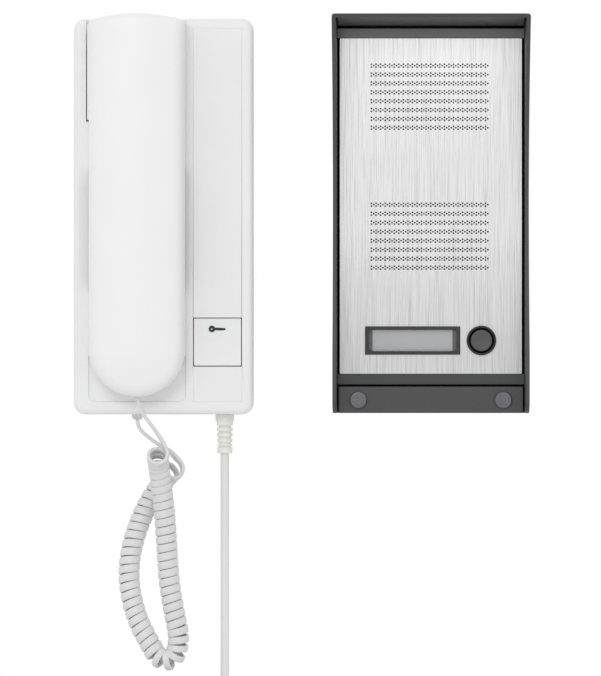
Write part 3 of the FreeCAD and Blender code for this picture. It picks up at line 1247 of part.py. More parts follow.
def hood_side_profile(x0, x1):
    """The hood seen from the side: deep at the top, waisted in the middle, with a round lower corner."""
    top, low, waist = HOOD_TOP, HOOD_BOTTOM, HOOD_WAIST_DEPTH
    r = HOOD_FOOT_CORNER
    k = r * (1 - math.sqrt(0.5))
    foot_run = low + HOOD_FOOT_SHARE * (HOOD_WAIST_Z - low)
    brow = at(x0, (top + HOOD_WAIST_Z) / 2 + HOOD_BROW_LIFT,
              waist + HOOD_BROW_SHARE * (HOOD_TOP_DEPTH - waist))
    cheek = at(x0, (HOOD_WAIST_Z + foot_run) / 2, waist + HOOD_CHEEK_SHARE * (HOOD_FOOT_DEPTH - waist))
    front_top = at(x0, top, HOOD_TOP_DEPTH)
    edges = [
        Part.LineSegment(at(x0, low, 0), at(x0, top, 0)),
        Part.LineSegment(at(x0, top, 0), front_top),
        Part.Arc(front_top, brow, at(x0, HOOD_WAIST_Z, waist)),
        Part.Arc(at(x0, HOOD_WAIST_Z, waist), cheek, at(x0, foot_run, HOOD_FOOT_DEPTH)),
        Part.LineSegment(at(x0, foot_run, HOOD_FOOT_DEPTH), at(x0, low + r, HOOD_FOOT_DEPTH)),
        Part.Arc(at(x0, low + r, HOOD_FOOT_DEPTH), at(x0, low + k, HOOD_FOOT_DEPTH - k),
                 at(x0, low, HOOD_FOOT_DEPTH - r)),
        Part.LineSegment(at(x0, low, HOOD_FOOT_DEPTH - r), at(x0, low, 0)),
    ]
    face = Part.Face(Part.Wire([e.toShape() for e in edges]))
    return face.extrude(Vec(x1 - x0, 0, 0))


def hood_frustum(shrink, depth0, depth1, z_low):
    """The splayed box of the hood between two depths, made smaller by a wall where asked."""
    rings = []
    for depth in (depth0, depth1):
        half = HOOD_BACK_WIDTH / 2 + HOOD_SPLAY * depth - shrink
        z_top = HOOD_TOP - shrink
        rings.append(polygon([at(OUTDOOR_X - half, z_low, depth), at(OUTDOOR_X + half, z_low, depth),
                              at(OUTDOOR_X + half, z_top, depth), at(OUTDOOR_X - half, z_top, depth)]))
    return Part.makeLoft(rings, True, True)


def rain_hood():
    """The hood: back plate, splayed waisted cheeks and a deep visor, open to the front and below."""
    side = hood_side_profile(OUTDOOR_X - HOOD_BACK_WIDTH, OUTDOOR_X + HOOD_BACK_WIDTH)
    outer = hood_frustum(0, 0, HOOD_TOP_DEPTH + HOOD_WALL, HOOD_BOTTOM).common(side)
    long_corners = [e for e in outer.Edges if abs(e.BoundBox.ZMin - HOOD_TOP) < 1e-3
                    and e.BoundBox.YLength > HOOD_TOP_DEPTH - HOOD_WALL]
    outer = outer.makeFillet(HOOD_EDGE_ROUND, long_corners)
    inner = hood_frustum(HOOD_WALL, HOOD_WALL, HOOD_TOP_DEPTH + 2 * HOOD_WALL, HOOD_BOTTOM - HOOD_WALL)
    hood = outer.cut(inner)
    bosses, holes = [], []
    for side_sign in (-1, 1):
        x = OUTDOOR_X + side_sign * LOCK_SCREW_X
        bosses.append(pin(x, LOCK_SCREW_Z, LOCK_BOSS, HOOD_WALL, HOOD_WALL + LOCK_BOSS_HEIGHT))
        holes.append(pin(x, LOCK_SCREW_Z, LOCK_SCREW_SHANK + 2 * SCREW_GAP, HOOD_WALL / 2,
                         HOOD_WALL + LOCK_BOSS_HEIGHT + 1))
        for z in (-HOOD_SCREW_Z, HOOD_SCREW_Z):
            holes.append(pin(OUTDOOR_X + side_sign * HOOD_SCREW_X, z, HOOD_SCREW_HOLE, -1, HOOD_WALL + 1))
    holes.append(pin(OUTDOOR_X, HOOD_CABLE_ENTRY_Z, HOOD_CABLE_ENTRY, -1, HOOD_WALL + 1))
    return hood.fuse(bosses).cut(Part.makeCompound(holes)).removeSplitter()


def grille_rows():
    """Top to bottom heights of the middle of each row of sound holes."""
    upper = [UPPER_GRILLE_TOP - i * UPPER_GRILLE_PITCH for i in range(GRILLE_ROWS)]
    lower = [LOWER_GRILLE_TOP - i * LOWER_GRILLE_PITCH for i in range(GRILLE_ROWS)]
    return upper, lower


def grille_window(rows, grow, depth0, depth1):
    """A window that takes in all the rows of one grille."""
    half = GRILLE_WIDTH / 2 + grow
    return block(GRILLE_X - half, GRILLE_X + half, depth0, depth1, rows[-1] - GRILLE_ROW_HEIGHT / 2 - grow,
                 rows[0] + GRILLE_ROW_HEIGHT / 2 + grow)


def window_block(inset, depth0, depth1):
    """The name window's rectangle, made smaller by an inset."""
    half_w, half_h = WINDOW_WIDTH / 2 - inset, WINDOW_HEIGHT / 2 - inset
    return block(WINDOW_X - half_w, WINDOW_X + half_w, depth0, depth1, WINDOW_Z - half_h, WINDOW_Z + half_h)


def panel_housing():
    """The box behind the face plate, with its plain top and bottom strips."""
    half = PANEL_WIDTH / 2
    rear = HOOD_WALL + PANEL_BACK_GAP
    outer = rounded_block(OUTDOOR_X - half, OUTDOOR_X + half, rear, PANEL_FRONT, PANEL_BOTTOM, PANEL_TOP,
                          PANEL_CORNER)
    for z0, z1 in ((PANEL_BOTTOM, FACE_BOTTOM - SCREW_GAP), (FACE_TOP + SCREW_GAP, PANEL_TOP)):
        outer = outer.fuse(block(OUTDOOR_X - half - STRIP_STEP, OUTDOOR_X + half + STRIP_STEP,
                                 face_rear() - PANEL_WALL, PANEL_FRONT, z0, z1))
    inner = block(OUTDOOR_X - half + PANEL_WALL, OUTDOOR_X + half - PANEL_WALL,
                  rear - 1, face_rear() - PANEL_WALL, PANEL_BOTTOM + PANEL_WALL, PANEL_TOP - PANEL_WALL)
    upper, lower = grille_rows()
    cuts = [
        inner,
        block(OUTDOOR_X - PANEL_WIDTH, OUTDOOR_X + PANEL_WIDTH, face_rear(), PANEL_FRONT + 1,
              FACE_BOTTOM - SCREW_GAP, FACE_TOP + SCREW_GAP),
        grille_window(upper, GRILLE_MARGIN, face_rear() - PANEL_WALL - 1, PANEL_FRONT),
        grille_window(lower, GRILLE_MARGIN, face_rear() - PANEL_WALL - 1, PANEL_FRONT),
        pin(CALL_X, CALL_Z, CALL_RING_SLEEVE + 2 * SCREW_GAP, face_rear() - PANEL_WALL - 1, PANEL_FRONT),
        window_block(WINDOW_RIM / 2, face_rear() - CARD_THICKNESS - 2 * SCREW_GAP, PANEL_FRONT),
    ]
    body = outer.cut(Part.makeCompound(cuts))
    bosses = []
    for x, z in housing_screw_places():
        post = pin(x, z, HOUSING_POST, rear + REAR_COVER_THICKNESS, face_rear() - PANEL_WALL / 2)
        bosses.append(post.cut(pin(x, z, HOUSING_SCREW_SHANK + 2 * SCREW_GAP, rear,
                                   rear + HOUSING_SCREW_SEAT + HOUSING_SCREW_LENGTH + 1)))
    return body.fuse(bosses).removeSplitter()


def face_rear():
    """Depth of the face plate's rear face."""
    return PANEL_FRONT + FACE_PROUD - FACE_THICKNESS


def housing_screw_places():
    """Where the rear cover is screwed to the housing."""
    reach = PANEL_WIDTH / 2 - HOUSING_SCREW_INSET
    return [(x, z) for x in (OUTDOOR_X - reach, OUTDOOR_X + reach)
            for z in (PANEL_TOP - HOUSING_SCREW_INSET, PANEL_BOTTOM + HOUSING_SCREW_INSET)]


def face_plate():
    """The brushed metal sheet: a slot for each row of sound holes, the name window and the button hole."""
    half = PANEL_WIDTH / 2
    sheet = rounded_block(OUTDOOR_X - half, OUTDOOR_X + half, face_rear(), face_rear() + FACE_THICKNESS,
                          FACE_BOTTOM, FACE_TOP, PANEL_CORNER / 2)
    upper, lower = grille_rows()
    cuts = []
    for z in upper + lower:
        cuts.append(block(GRILLE_X - GRILLE_WIDTH / 2, GRILLE_X + GRILLE_WIDTH / 2,
                          face_rear() - 1, PANEL_FRONT + 2,
                          z - GRILLE_ROW_HEIGHT / 2, z + GRILLE_ROW_HEIGHT / 2))
    cuts.append(pin(CALL_X, CALL_Z, CALL_RING_SLEEVE + 2 * SCREW_GAP, face_rear() - 1, PANEL_FRONT + 2))
    cuts.append(window_block(WINDOW_RIM / 2, face_rear() - 1, PANEL_FRONT + 2))
    return sheet.cut(Part.makeCompound(cuts))


def rear_cover():
    """The sheet that closes the housing from behind, with a cable hole."""
    half = PANEL_WIDTH / 2 - PANEL_WALL - SCREW_GAP
    rear = HOOD_WALL + PANEL_BACK_GAP
    plate = block(OUTDOOR_X - half, OUTDOOR_X + half, rear, rear + REAR_COVER_THICKNESS,
                  PANEL_BOTTOM + PANEL_WALL + SCREW_GAP, PANEL_TOP - PANEL_WALL - SCREW_GAP)
    behind, before = rear - 1, rear + REAR_COVER_THICKNESS + 1
    cuts = [pin(OUTDOOR_X, HOOD_CABLE_ENTRY_Z, REAR_COVER_CABLE_HOLE, behind, before)]
    for x, z in housing_screw_places():
        cuts.append(pin(x, z, HOUSING_SCREW_SHANK + 2 * SCREW_GAP, behind, before))
        cuts.append(pin(x, z, HOUSING_SCREW_HEAD + 4 * SCREW_GAP, rear - 1, rear + HOUSING_SCREW_SEAT))
    for side in (-1, 1):
        for z in (-HOOD_SCREW_Z, HOOD_SCREW_Z):
            cuts.append(pin(OUTDOOR_X + side * HOOD_SCREW_X, z, HOOD_SCREW_CLEARANCE, rear - 1,
                            rear + REAR_COVER_THICKNESS + 1))
    return plate.cut(Part.makeCompound(cuts))


def housing_screws():
    """Four sunk screws of the rear cover."""
    seat = HOOD_WALL + PANEL_BACK_GAP + HOUSING_SCREW_SEAT
    return Part.makeCompound([
        seat_screw(x, z, HOUSING_SCREW_SHANK, HOUSING_SCREW_HEAD, HOUSING_SCREW_HEAD_HEIGHT,
                   seat, seat + HOUSING_SCREW_LENGTH) for x, z in housing_screw_places()])


def lock_bar():
    """The removable bar at the foot of the hood, hollow behind, with two screw towers."""
    rear = HOOD_WALL + SEAT_GAP
    between = block(OUTDOOR_X - HOOD_BACK_WIDTH, OUTDOOR_X + HOOD_BACK_WIDTH, rear, LOCK_FRONT,
                    LOCK_BOTTOM, LOCK_TOP)
    outer = hood_frustum(HOOD_WALL + LOCK_GAP, rear, LOCK_FRONT, LOCK_BOTTOM - 1).common(between)
    front = [e for e in outer.Edges if abs(e.BoundBox.YMax + LOCK_FRONT) < 1e-6]
    outer = outer.makeFillet(LOCK_ROUND, front)
    half = HOOD_BACK_WIDTH / 2 - HOOD_WALL - LOCK_GAP - LOCK_WALL
    inner = block(OUTDOOR_X - half, OUTDOOR_X + half, 0, LOCK_FRONT - LOCK_WALL,
                  LOCK_BOTTOM + LOCK_WALL, LOCK_TOP - LOCK_WALL)
    body = outer.cut(inner)
    towers, holes = [], []
    for side in (-1, 1):
        x = OUTDOOR_X + side * LOCK_SCREW_X
        towers.append(pin(x, LOCK_SCREW_Z, LOCK_BOSS, HOOD_WALL + LOCK_BOSS_HEIGHT + SCREW_GAP,
                          LOCK_FRONT - LOCK_WALL / 2))
        holes.append(pin(x, LOCK_SCREW_Z, LOCK_SCREW_SHANK + 2 * SCREW_GAP, 0, LOCK_FRONT + 1))
    return body.fuse(towers).cut(Part.makeCompound(holes)).removeSplitter()


def lock_screws():
    """Two large pan head screws that hold the bar."""
    screws = []
    for side in (-1, 1):
        x = OUTDOOR_X + side * LOCK_SCREW_X
        body = pin(x, LOCK_SCREW_Z, LOCK_SCREW_SHANK, HOOD_WALL + LOCK_BOSS_HEIGHT / 4, LOCK_FRONT)
        head = pin(x, LOCK_SCREW_Z, LOCK_SCREW_HEAD, LOCK_FRONT, LOCK_FRONT + LOCK_SCREW_HEAD_HEIGHT)
        rim = [e for e in head.Edges if abs(e.BoundBox.YMin + LOCK_FRONT + LOCK_SCREW_HEAD_HEIGHT) < 1e-6
               and e.BoundBox.YLength < 1e-6]
        screws.append(body.fuse(head.makeChamfer(LOCK_SCREW_BEVEL, rim)).removeSplitter())
    return Part.makeCompound(screws)


def name_window():
    """The window's rim, its clear lens and the card behind it."""
    front = PANEL_FRONT + FACE_PROUD
    rim = window_block(0, front, front + WINDOW_PROUD)
    top = [e for e in rim.Edges if abs(e.BoundBox.YMax + front + WINDOW_PROUD) < 1e-6]
    rim = rim.makeChamfer(EDGE_BEVEL, top)
    skirt = window_block(WINDOW_RIM / 2 + SCREW_GAP, face_rear(), front)
    hole = window_block(WINDOW_RIM, face_rear() - 1, front + 3)
    frame = rim.fuse(skirt).cut(hole).removeSplitter()
    lens_rear, card_front = face_rear() + 2 * SCREW_GAP, face_rear() - SCREW_GAP
    lens = window_block(WINDOW_RIM + SCREW_GAP, lens_rear, lens_rear + LENS_THICKNESS)
    card = window_block(WINDOW_RIM / 2 + SCREW_GAP, card_front - CARD_THICKNESS, card_front)
    card_ends = block(WINDOW_X - WINDOW_WIDTH / 2 + WINDOW_RIM + CARD_END_GAP,
                      WINDOW_X + WINDOW_WIDTH / 2 - WINDOW_RIM - CARD_END_GAP,
                      0, front, WINDOW_Z - WINDOW_HEIGHT, WINDOW_Z + WINDOW_HEIGHT)
    card = card.common(card_ends)
    return {"name_window_frame": frame, "name_window_lens": lens, "name_card": card}


def call_button_parts():
    """The button's ring, the button, its rubber dome and the switch below."""
    front = PANEL_FRONT + FACE_PROUD
    ring_front = front + CALL_RING_PROUD
    flange_top = face_rear() - PANEL_WALL - CALL_FLANGE_THICKNESS
    flange_depth = flange_top - CALL_FLANGE_THICKNESS
    hole = pin(CALL_X, CALL_Z, CALL_BUTTON_DIAMETER + 2 * SLIDE_GAP, 0, ring_front + 1)
    ring = pin(CALL_X, CALL_Z, CALL_RING_DIAMETER, front, ring_front)
    rim = [e for e in ring.Edges if abs(e.BoundBox.YMin + ring_front) < 1e-6 and e.BoundBox.YLength < 1e-6]
    ring = ring.makeChamfer(CALL_RING_BEVEL, rim)
    sleeve = pin(CALL_X, CALL_Z, CALL_RING_SLEEVE, flange_top + SEAT_GAP, front)
    ring = ring.fuse(sleeve).cut(hole).removeSplitter()
    face_depth = ring_front - CALL_SINK
    button = pin(CALL_X, CALL_Z, CALL_BUTTON_DIAMETER, flange_depth, face_depth)
    edge = [e for e in button.Edges if abs(e.BoundBox.YMin + face_depth) < 1e-6 and e.BoundBox.YLength < 1e-6]
    button = button.makeChamfer(CALL_BUTTON_BEVEL, edge)
    board_front = OUTDOOR_BOARD_DEPTH + BOARD_THICKNESS
    stem_end = board_front + SWITCH_HEIGHT + CALL_TRAVEL + SLIDE_GAP
    flange = pin(CALL_X, CALL_Z, CALL_FLANGE_DIAMETER, flange_depth, flange_top)
    stem = pin(CALL_X, CALL_Z, CALL_STEM, stem_end, flange_top)
    button = button.fuse([flange, stem]).removeSplitter()
    dome_height, dome_foot = flange_depth - board_front - SCREW_GAP, at(CALL_X, CALL_Z, board_front)
    cone = Part.makeCone(DOME_LOW_RADIUS, DOME_TOP_RADIUS, dome_height, dome_foot, Vec(0, -1, 0))
    bore = Part.makeCone(DOME_LOW_RADIUS - DOME_WALL, DOME_TOP_RADIUS - DOME_WALL, dome_height, dome_foot,
                         Vec(0, -1, 0))
    dome = cone.cut(bore)
    switch = tact_switch(CALL_X, CALL_Z, board_front)
    return {"call_button_ring": ring, "call_button": button, "call_button_dome": dome, "call_switch": switch}


def outdoor_inside():
    """What the outdoor housing holds: board, loudspeaker, microphone, terminals and sound gauze."""
    upper, lower = grille_rows()
    gauze_back = face_rear() - PANEL_WALL - GAUZE_THICKNESS
    gauze = Part.makeCompound([
        grille_window(rows, GRILLE_MARGIN + 1.0, gauze_back, gauze_back + GAUZE_THICKNESS)
        for rows in (upper, lower)])
    speaker_front = gauze_back - SEAT_GAP
    speaker = capsule(OUTDOOR_X, SPEAKER_Z, SPEAKER_DIAMETER, speaker_front, speaker_front - SPEAKER_HEIGHT)
    front = OUTDOOR_BOARD_DEPTH + BOARD_THICKNESS
    board = block(OUTDOOR_X - OUTDOOR_BOARD_WIDTH / 2, OUTDOOR_X + OUTDOOR_BOARD_WIDTH / 2,
                  OUTDOOR_BOARD_DEPTH, front, OUTDOOR_BOARD_BOTTOM, OUTDOOR_BOARD_TOP)
    microphone = pin(OUTDOOR_X, OUTDOOR_MICROPHONE_Z, MICROPHONE_DIAMETER, front, gauze_back - SEAT_GAP)
    terminals = terminal_block(OUTDOOR_TERMINAL_X, OUTDOOR_TERMINAL_Z, front)
    return {"grille_gauze": gauze, "outdoor_speaker": speaker, "outdoor_circuit_board": board,
            "outdoor_microphone": microphone, "outdoor_terminal_block": terminals}


def indoor_station():
    """All the rigid pieces of the indoor station."""
    half_window = BUTTON_SIZE / 2 + BUTTON_GAP
    rear = BASE_DEPTH - BUTTON_HEIGHT
    return {
        "indoor_back_plate": back_plate(),
        "indoor_front_cover": front_cover(),
        "indoor_cover_screws": cover_screws(),
        "upper_side_strip": side_strip(BUTTON_Z + half_window, STRIP_TOP),
        "lower_side_strip": side_strip(STRIP_BOTTOM, BUTTON_Z - half_window),
        "release_button": release_button(),
        "release_button_spring": spring(BUTTON_X, BUTTON_Z, BUTTON_SPRING_DIAMETER, BUTTON_SPRING_TURNS,
                                        BOARD_FRONT + SCREW_GAP, rear - BUTTON_COLLAR_DROP - SCREW_GAP),
        "release_switch": tact_switch(BUTTON_X, BUTTON_Z, BOARD_FRONT),
        "hook_plunger": hook_plunger(),
        "hook_spring": spring(HOOK_X, HOOK_Z, HOOK_SPRING_DIAMETER, HOOK_SPRING_TURNS,
                              BOARD_FRONT + SCREW_GAP, HOOK_FLANGE_DEPTH - SCREW_GAP),
        "hook_switch": tact_switch(HOOK_X, HOOK_Z, BOARD_FRONT),
        "indoor_circuit_board": indoor_board(),
        "ringer_speaker": capsule(RINGER_X, RINGER_Z, RINGER_DIAMETER,
                                  BOARD_FRONT, BOARD_FRONT + RINGER_HEIGHT),
        "mains_transformer": transformer(),
        "indoor_terminal_block": terminal_block(TERMINAL_X, TERMINAL_Z, BOARD_FRONT),
    }


def handset():
    """All the pieces of the handset."""
    return {
        "handset_outer_shell": handset_outer_shell(),
        "handset_inner_shell": handset_inner_shell(),
        "earpiece_capsule": capsule(HANDSET_X, EARPIECE_Z, EARPIECE_DIAMETER, EAR_REAR + HANDSET_WALL,
                                    EAR_REAR + HANDSET_WALL + EARPIECE_HEIGHT),
        "mouthpiece_microphone": pin(HANDSET_X, MOUTH_Z, MICROPHONE_DIAMETER, MOUTH_REAR + HANDSET_WALL,
                                     MOUTH_REAR + HANDSET_WALL + MICROPHONE_HEIGHT),
        "handset_screws": handset_screws(),
        "handset_cord_grommet": grommet(0),
    }


def outdoor_panel():
    """All the pieces of the outdoor panel."""
    parts = {
        "rain_hood": rain_hood(),
        "panel_housing": panel_housing(),
        "face_plate": face_plate(),
        "panel_rear_cover": rear_cover(),
        "panel_housing_screws": housing_screws(),
        "lock_bar": lock_bar(),
        "lock_bar_screws": lock_screws(),
    }
    parts.update(name_window())
    parts.update(call_button_parts())
    parts.update(outdoor_inside())
    return parts


def build():
    """Every piece by name."""
    parts = indoor_station()
    parts.update(handset())
    parts["handset_cord_plug"] = base_plug()
    parts.update(handset_cord())
    parts["lead_strain_relief"] = strain_relief()
    parts.update(mains_lead())
    parts.update(outdoor_panel())
    return parts


os.makedirs("parts", exist_ok=True)
for name, shape in build().items():
    if not shape.isValid():
        print("not valid:", name)
    shape.exportStep("parts/" + name + ".step")
    print(name, len(shape.Solids), round(shape.Volume, 1))
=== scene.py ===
"""Looks of the wired door intercom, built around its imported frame.

Named sizes are in millimetres, in the frame's own axes: x to the right, z up, the wall at y = 0, and depths
out from it. MM turns them into metres.
"""
import json
import math

import bmesh
import bpy
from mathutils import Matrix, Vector
from mathutils.geometry import delaunay_2d_cdt


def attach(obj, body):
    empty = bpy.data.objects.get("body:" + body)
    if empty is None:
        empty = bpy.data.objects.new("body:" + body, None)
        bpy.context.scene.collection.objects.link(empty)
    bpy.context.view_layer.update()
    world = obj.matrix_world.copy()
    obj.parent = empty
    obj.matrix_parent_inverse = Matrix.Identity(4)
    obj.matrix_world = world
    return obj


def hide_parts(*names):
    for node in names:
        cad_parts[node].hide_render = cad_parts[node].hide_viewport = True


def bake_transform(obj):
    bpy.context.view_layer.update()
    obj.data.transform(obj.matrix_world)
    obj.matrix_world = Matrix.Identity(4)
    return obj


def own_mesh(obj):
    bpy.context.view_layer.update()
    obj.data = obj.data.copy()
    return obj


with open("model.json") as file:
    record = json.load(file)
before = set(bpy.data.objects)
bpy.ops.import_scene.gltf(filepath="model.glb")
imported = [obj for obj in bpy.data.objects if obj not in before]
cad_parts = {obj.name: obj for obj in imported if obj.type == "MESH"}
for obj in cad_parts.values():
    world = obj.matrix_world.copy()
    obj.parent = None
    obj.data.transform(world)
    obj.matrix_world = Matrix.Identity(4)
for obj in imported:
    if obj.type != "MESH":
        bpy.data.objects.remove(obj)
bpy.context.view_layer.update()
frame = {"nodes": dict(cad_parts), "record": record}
nodes = frame["nodes"]
record = frame["record"]
slots = {entry["node"]: entry["material_slot"] for entry in record["subparts"]}
materials = {}
MM = 0.001


def at(x, z, depth):
    """A point given in millimetres by x, z and its depth out from the wall."""
    return Vector((x, -depth, z)) * MM


def mm(x, y, z):
    """A point given in millimetres by its three coordinates."""
    return Vector((x, y, z)) * MM


def link(obj):
    """Puts a new object in the scene."""
    bpy.context.scene.collection.objects.link(obj)
    return obj


# Camera: level and square to the wall with a long lens, as in the photograph. Its distances are in metres,
# the height that the image shows and the sensor's width in millimetres
IMAGE_HEIGHT = 338.0
SENSOR_WIDTH = 36.0
CAMERA_DISTANCE = 6.0
CAMERA_CLIP = (0.1, 30.0)
CAMERA_TARGET = at(68.45, -60.75, 30.0)


def make_camera():
    """The camera at the photograph's viewing angle."""
    data = bpy.data.cameras.new("camera")
    data.sensor_width = SENSOR_WIDTH
    data.lens = data.sensor_width * CAMERA_DISTANCE / (IMAGE_HEIGHT * MM)
    data.clip_start, data.clip_end = CAMERA_CLIP
    camera = link(bpy.data.objects.new("camera", data))
    along = Vector((0, 1, 0))
    camera.location = CAMERA_TARGET - along * CAMERA_DISTANCE
    camera.rotation_mode = "QUATERNION"
    camera.rotation_quaternion = along.to_track_quat("-Z", "Y")
    bpy.context.scene.camera = camera


# Face plate: its sides, its foot and top, and its two faces
FACE_X = (88.1, 179.1)
FACE_Z = (-78.6, 89.0)
FACE_FRONT = 30.4
FACE_REAR = 29.4
FACE_CORNER = 0.5
FACE_CORNER_STEPS = 4

# Its brushing: noise drawn out upright in two grains, then the tones of its lines, and its painted light by
# height: lighter at the top against the visor's shade, darker towards the foot
BRUSH_STRETCH = (1, 1, 0.012)
BRUSH_FINE_SCALE = 2600.0
BRUSH_BROAD_SCALE = 1100.0
BRUSH_BROAD_SHARE = 0.2
BRUSH_METALLIC = 0.4
BRUSH_ROUGHNESS = (0.54, 0.66)
BRUSH_RELIEF = 0.2
BRUSH_TONES = [(0.37, (0.70, 0.70, 0.705)), (0.5, (0.93, 0.93, 0.93)), (0.63, (1.0, 1.0, 0.995))]
FACE_PAINTED_LIGHT_TONES = [(0.0, 0.67), (0.25, 0.73), (0.43, 0.8), (0.64, 0.81), (0.82, 0.885), (0.88, 0.915),
              (0.94, 0.98), (1.0, 1.0)]


# Grain of the materials: scales of their noise, the spread of their gloss, and depths of relief in metres
CLOUD_SCALE = 35.0
CLEAR_CLOUD_SCALE = 120.0
GLOSS_SCALE = 180.0
GLOSS_SPREAD = 0.04
GRAIN_RELIEF = 0.00003
MARK_RELIEF = 0.00004
THREAD_SCALE = 700.0
THREAD_RELIEF = 0.00008


# Material helpers
def new_material(name):
    """A node material with its principled shader, kept under its name."""
    material = bpy.data.materials.new(name)
    material.use_nodes = True
    materials[name] = material
    return material.node_tree, material.node_tree.nodes["Principled BSDF"]


def object_place(tree, scale=(1, 1, 1)):
    """Object coordinates, scaled on each axis."""
    place = tree.nodes.new("ShaderNodeTexCoord")
    mapping = tree.nodes.new("ShaderNodeMapping")
    mapping.inputs["Scale"].default_value = scale
    tree.links.new(place.outputs["Object"], mapping.inputs["Vector"])
    return mapping.outputs["Vector"]


def noise(tree, vector, scale, detail=3.0, rough=0.55):
    """A noise value between 0 and 1."""
    node = tree.nodes.new("ShaderNodeTexNoise")
    node.inputs["Scale"].default_value = scale
    node.inputs["Detail"].default_value = detail
    node.inputs["Roughness"].default_value = rough
    tree.links.new(vector, node.inputs["Vector"])
    return node.outputs["Fac"]


def ramp(tree, value, stops):
    """A colour ramp from (place, colour) stops."""
    node = tree.nodes.new("ShaderNodeValToRGB")
    elements = node.color_ramp.elements
    elements[0].position, elements[0].color = stops[0][0], (*stops[0][1], 1)
    elements[1].position, elements[1].color = stops[-1][0], (*stops[-1][1], 1)
    for place, colour in stops[1:-1]:
        element = elements.new(place)
        element.color = (*colour, 1)
    tree.links.new(value, node.inputs["Fac"])
    return node.outputs["Color"]


def spread(tree, value, low, high):
    """A value from 0 to 1, spread between two numbers."""
    node = tree.nodes.new("ShaderNodeMapRange")
    node.inputs["To Min"].default_value = low
    node.inputs["To Max"].default_value = high
    tree.links.new(value, node.inputs["Value"])
    return node.outputs["Result"]


def greater(tree, first, second):
    """The greater of two values."""
    node = tree.nodes.new("ShaderNodeMath")
    node.operation = "MAXIMUM"
    tree.links.new(first, node.inputs[0])
    tree.links.new(second, node.inputs[1])
    return node.outputs["Value"]


def multiplied(tree, first, second):
    """One colour times another."""
    mix = tree.nodes.new("ShaderNodeMix")
    mix.data_type = "RGBA"
    mix.blend_type = "MULTIPLY"
    mix.inputs["Factor"].default_value = 1.0
    tree.links.new(first, mix.inputs["A"])
    tree.links.new(second, mix.inputs["B"])
    return mix.outputs["Result"]


def bump(tree, shader, height, strength, distance):
    """Fine relief from a height value; the distance is in metres."""
    node = tree.nodes.new("ShaderNodeBump")
    node.inputs["Strength"].default_value = strength
    node.inputs["Distance"].default_value = distance
    tree.links.new(height, node.inputs["Height"])
    tree.links.new(node.outputs["Normal"], shader.inputs["Normal"])


def toned(colour, share):
    """A colour made darker or lighter by a share."""
    return tuple(min(1.0, c * share) for c in colour)


def varied(colour, variation):
    """A colour a little darker and a little lighter."""
    return toned(colour, 1 - variation), toned(colour, 1 + variation)


def plate_height(tree):
    """A value from 0 at the foot of the face plate to 1 at its top."""
    parts = tree.nodes.new("ShaderNodeSeparateXYZ")
    tree.links.new(object_place(tree), parts.inputs["Vector"])
    height = tree.nodes.new("ShaderNodeMapRange")
    height.inputs["From Min"].default_value = FACE_Z[0] * MM
    height.inputs["From Max"].default_value = FACE_Z[1] * MM
    tree.links.new(parts.outputs["Z"], height.inputs["Value"])
    return height.outputs["Result"]


# Materials
def moulded(name, colour, roughness, grain=2500.0, relief=0.12, variation=0.03):
    """Moulded plastic or rubber: fine grain, slight cloudiness and uneven gloss."""
    tree, shader = new_material(name)
    place = object_place(tree)
    dark, light = varied(colour, variation)
    cloud = noise(tree, place, CLOUD_SCALE, detail=4.0)
    tree.links.new(ramp(tree, cloud, [(0.3, dark), (0.7, light)]), shader.inputs["Base Color"])
    gloss = spread(tree, noise(tree, place, GLOSS_SCALE), roughness - GLOSS_SPREAD, roughness + GLOSS_SPREAD)
    tree.links.new(gloss, shader.inputs["Roughness"])
    bump(tree, shader, noise(tree, place, grain, detail=2.0), relief, GRAIN_RELIEF)


def painted_light_by_height(name, low, high):
    """Painted light: makes a plastic's colour rise evenly from the foot of the face plate to its top, lighter
    at the top against the visor's shade.
    """
    tree = materials[name].node_tree
    old = next(entry for entry in tree.links if entry.to_socket.name == "Base Color")
    colour, socket = old.from_socket, old.to_socket
    share = spread(tree, plate_height(tree), low, high)
    tree.links.new(multiplied(tree, colour, share), socket)


def metal(name, colour, roughness, stretch=(1, 1, 1), scale=900.0, relief=0.15, variation=0.06):
    """Metal with fine marks, drawn out along an axis where asked."""
    tree, shader = new_material(name)
    dark, light = varied(colour, variation)
    marks = noise(tree, object_place(tree, stretch), scale, detail=5.0, rough=0.7)
    tree.links.new(ramp(tree, marks, [(0.25, dark), (0.75, light)]), shader.inputs["Base Color"])
    shader.inputs["Metallic"].default_value = 1.0
    tree.links.new(spread(tree, marks, roughness - 0.05, roughness + 0.08), shader.inputs["Roughness"])
    bump(tree, shader, marks, relief, MARK_RELIEF)


def brushed_sheet(name):
    """The face plate: pale metal brushed upright, with fine light and dark lines, and painted light: lighter
    at its top against the visor's shade, darker towards its foot.
    """
    tree, shader = new_material(name)
    mixed = tree.nodes.new("ShaderNodeMix")
    mixed.data_type = "FLOAT"
    mixed.inputs["Factor"].default_value = BRUSH_BROAD_SHARE
    fine = noise(tree, object_place(tree, BRUSH_STRETCH), BRUSH_FINE_SCALE, rough=0.7)
    broad = noise(tree, object_place(tree, BRUSH_STRETCH), BRUSH_BROAD_SCALE, rough=0.6)
    tree.links.new(fine, mixed.inputs["A"])
    tree.links.new(broad, mixed.inputs["B"])
    lines = mixed.outputs["Result"]
    # Painted light: the colour rises with height, lighter at the plate's top against the visor's shade and
    # darker towards its foot
    painted_light = ramp(tree, plate_height(tree), [(share, (tone, tone, tone)) for share, tone in FACE_PAINTED_LIGHT_TONES])
    tree.links.new(multiplied(tree, ramp(tree, lines, BRUSH_TONES), painted_light), shader.inputs["Base Color"])
    shader.inputs["Metallic"].default_value = BRUSH_METALLIC
    tree.links.new(spread(tree, lines, *BRUSH_ROUGHNESS), shader.inputs["Roughness"])
    bump(tree, shader, lines, BRUSH_RELIEF, GRAIN_RELIEF)


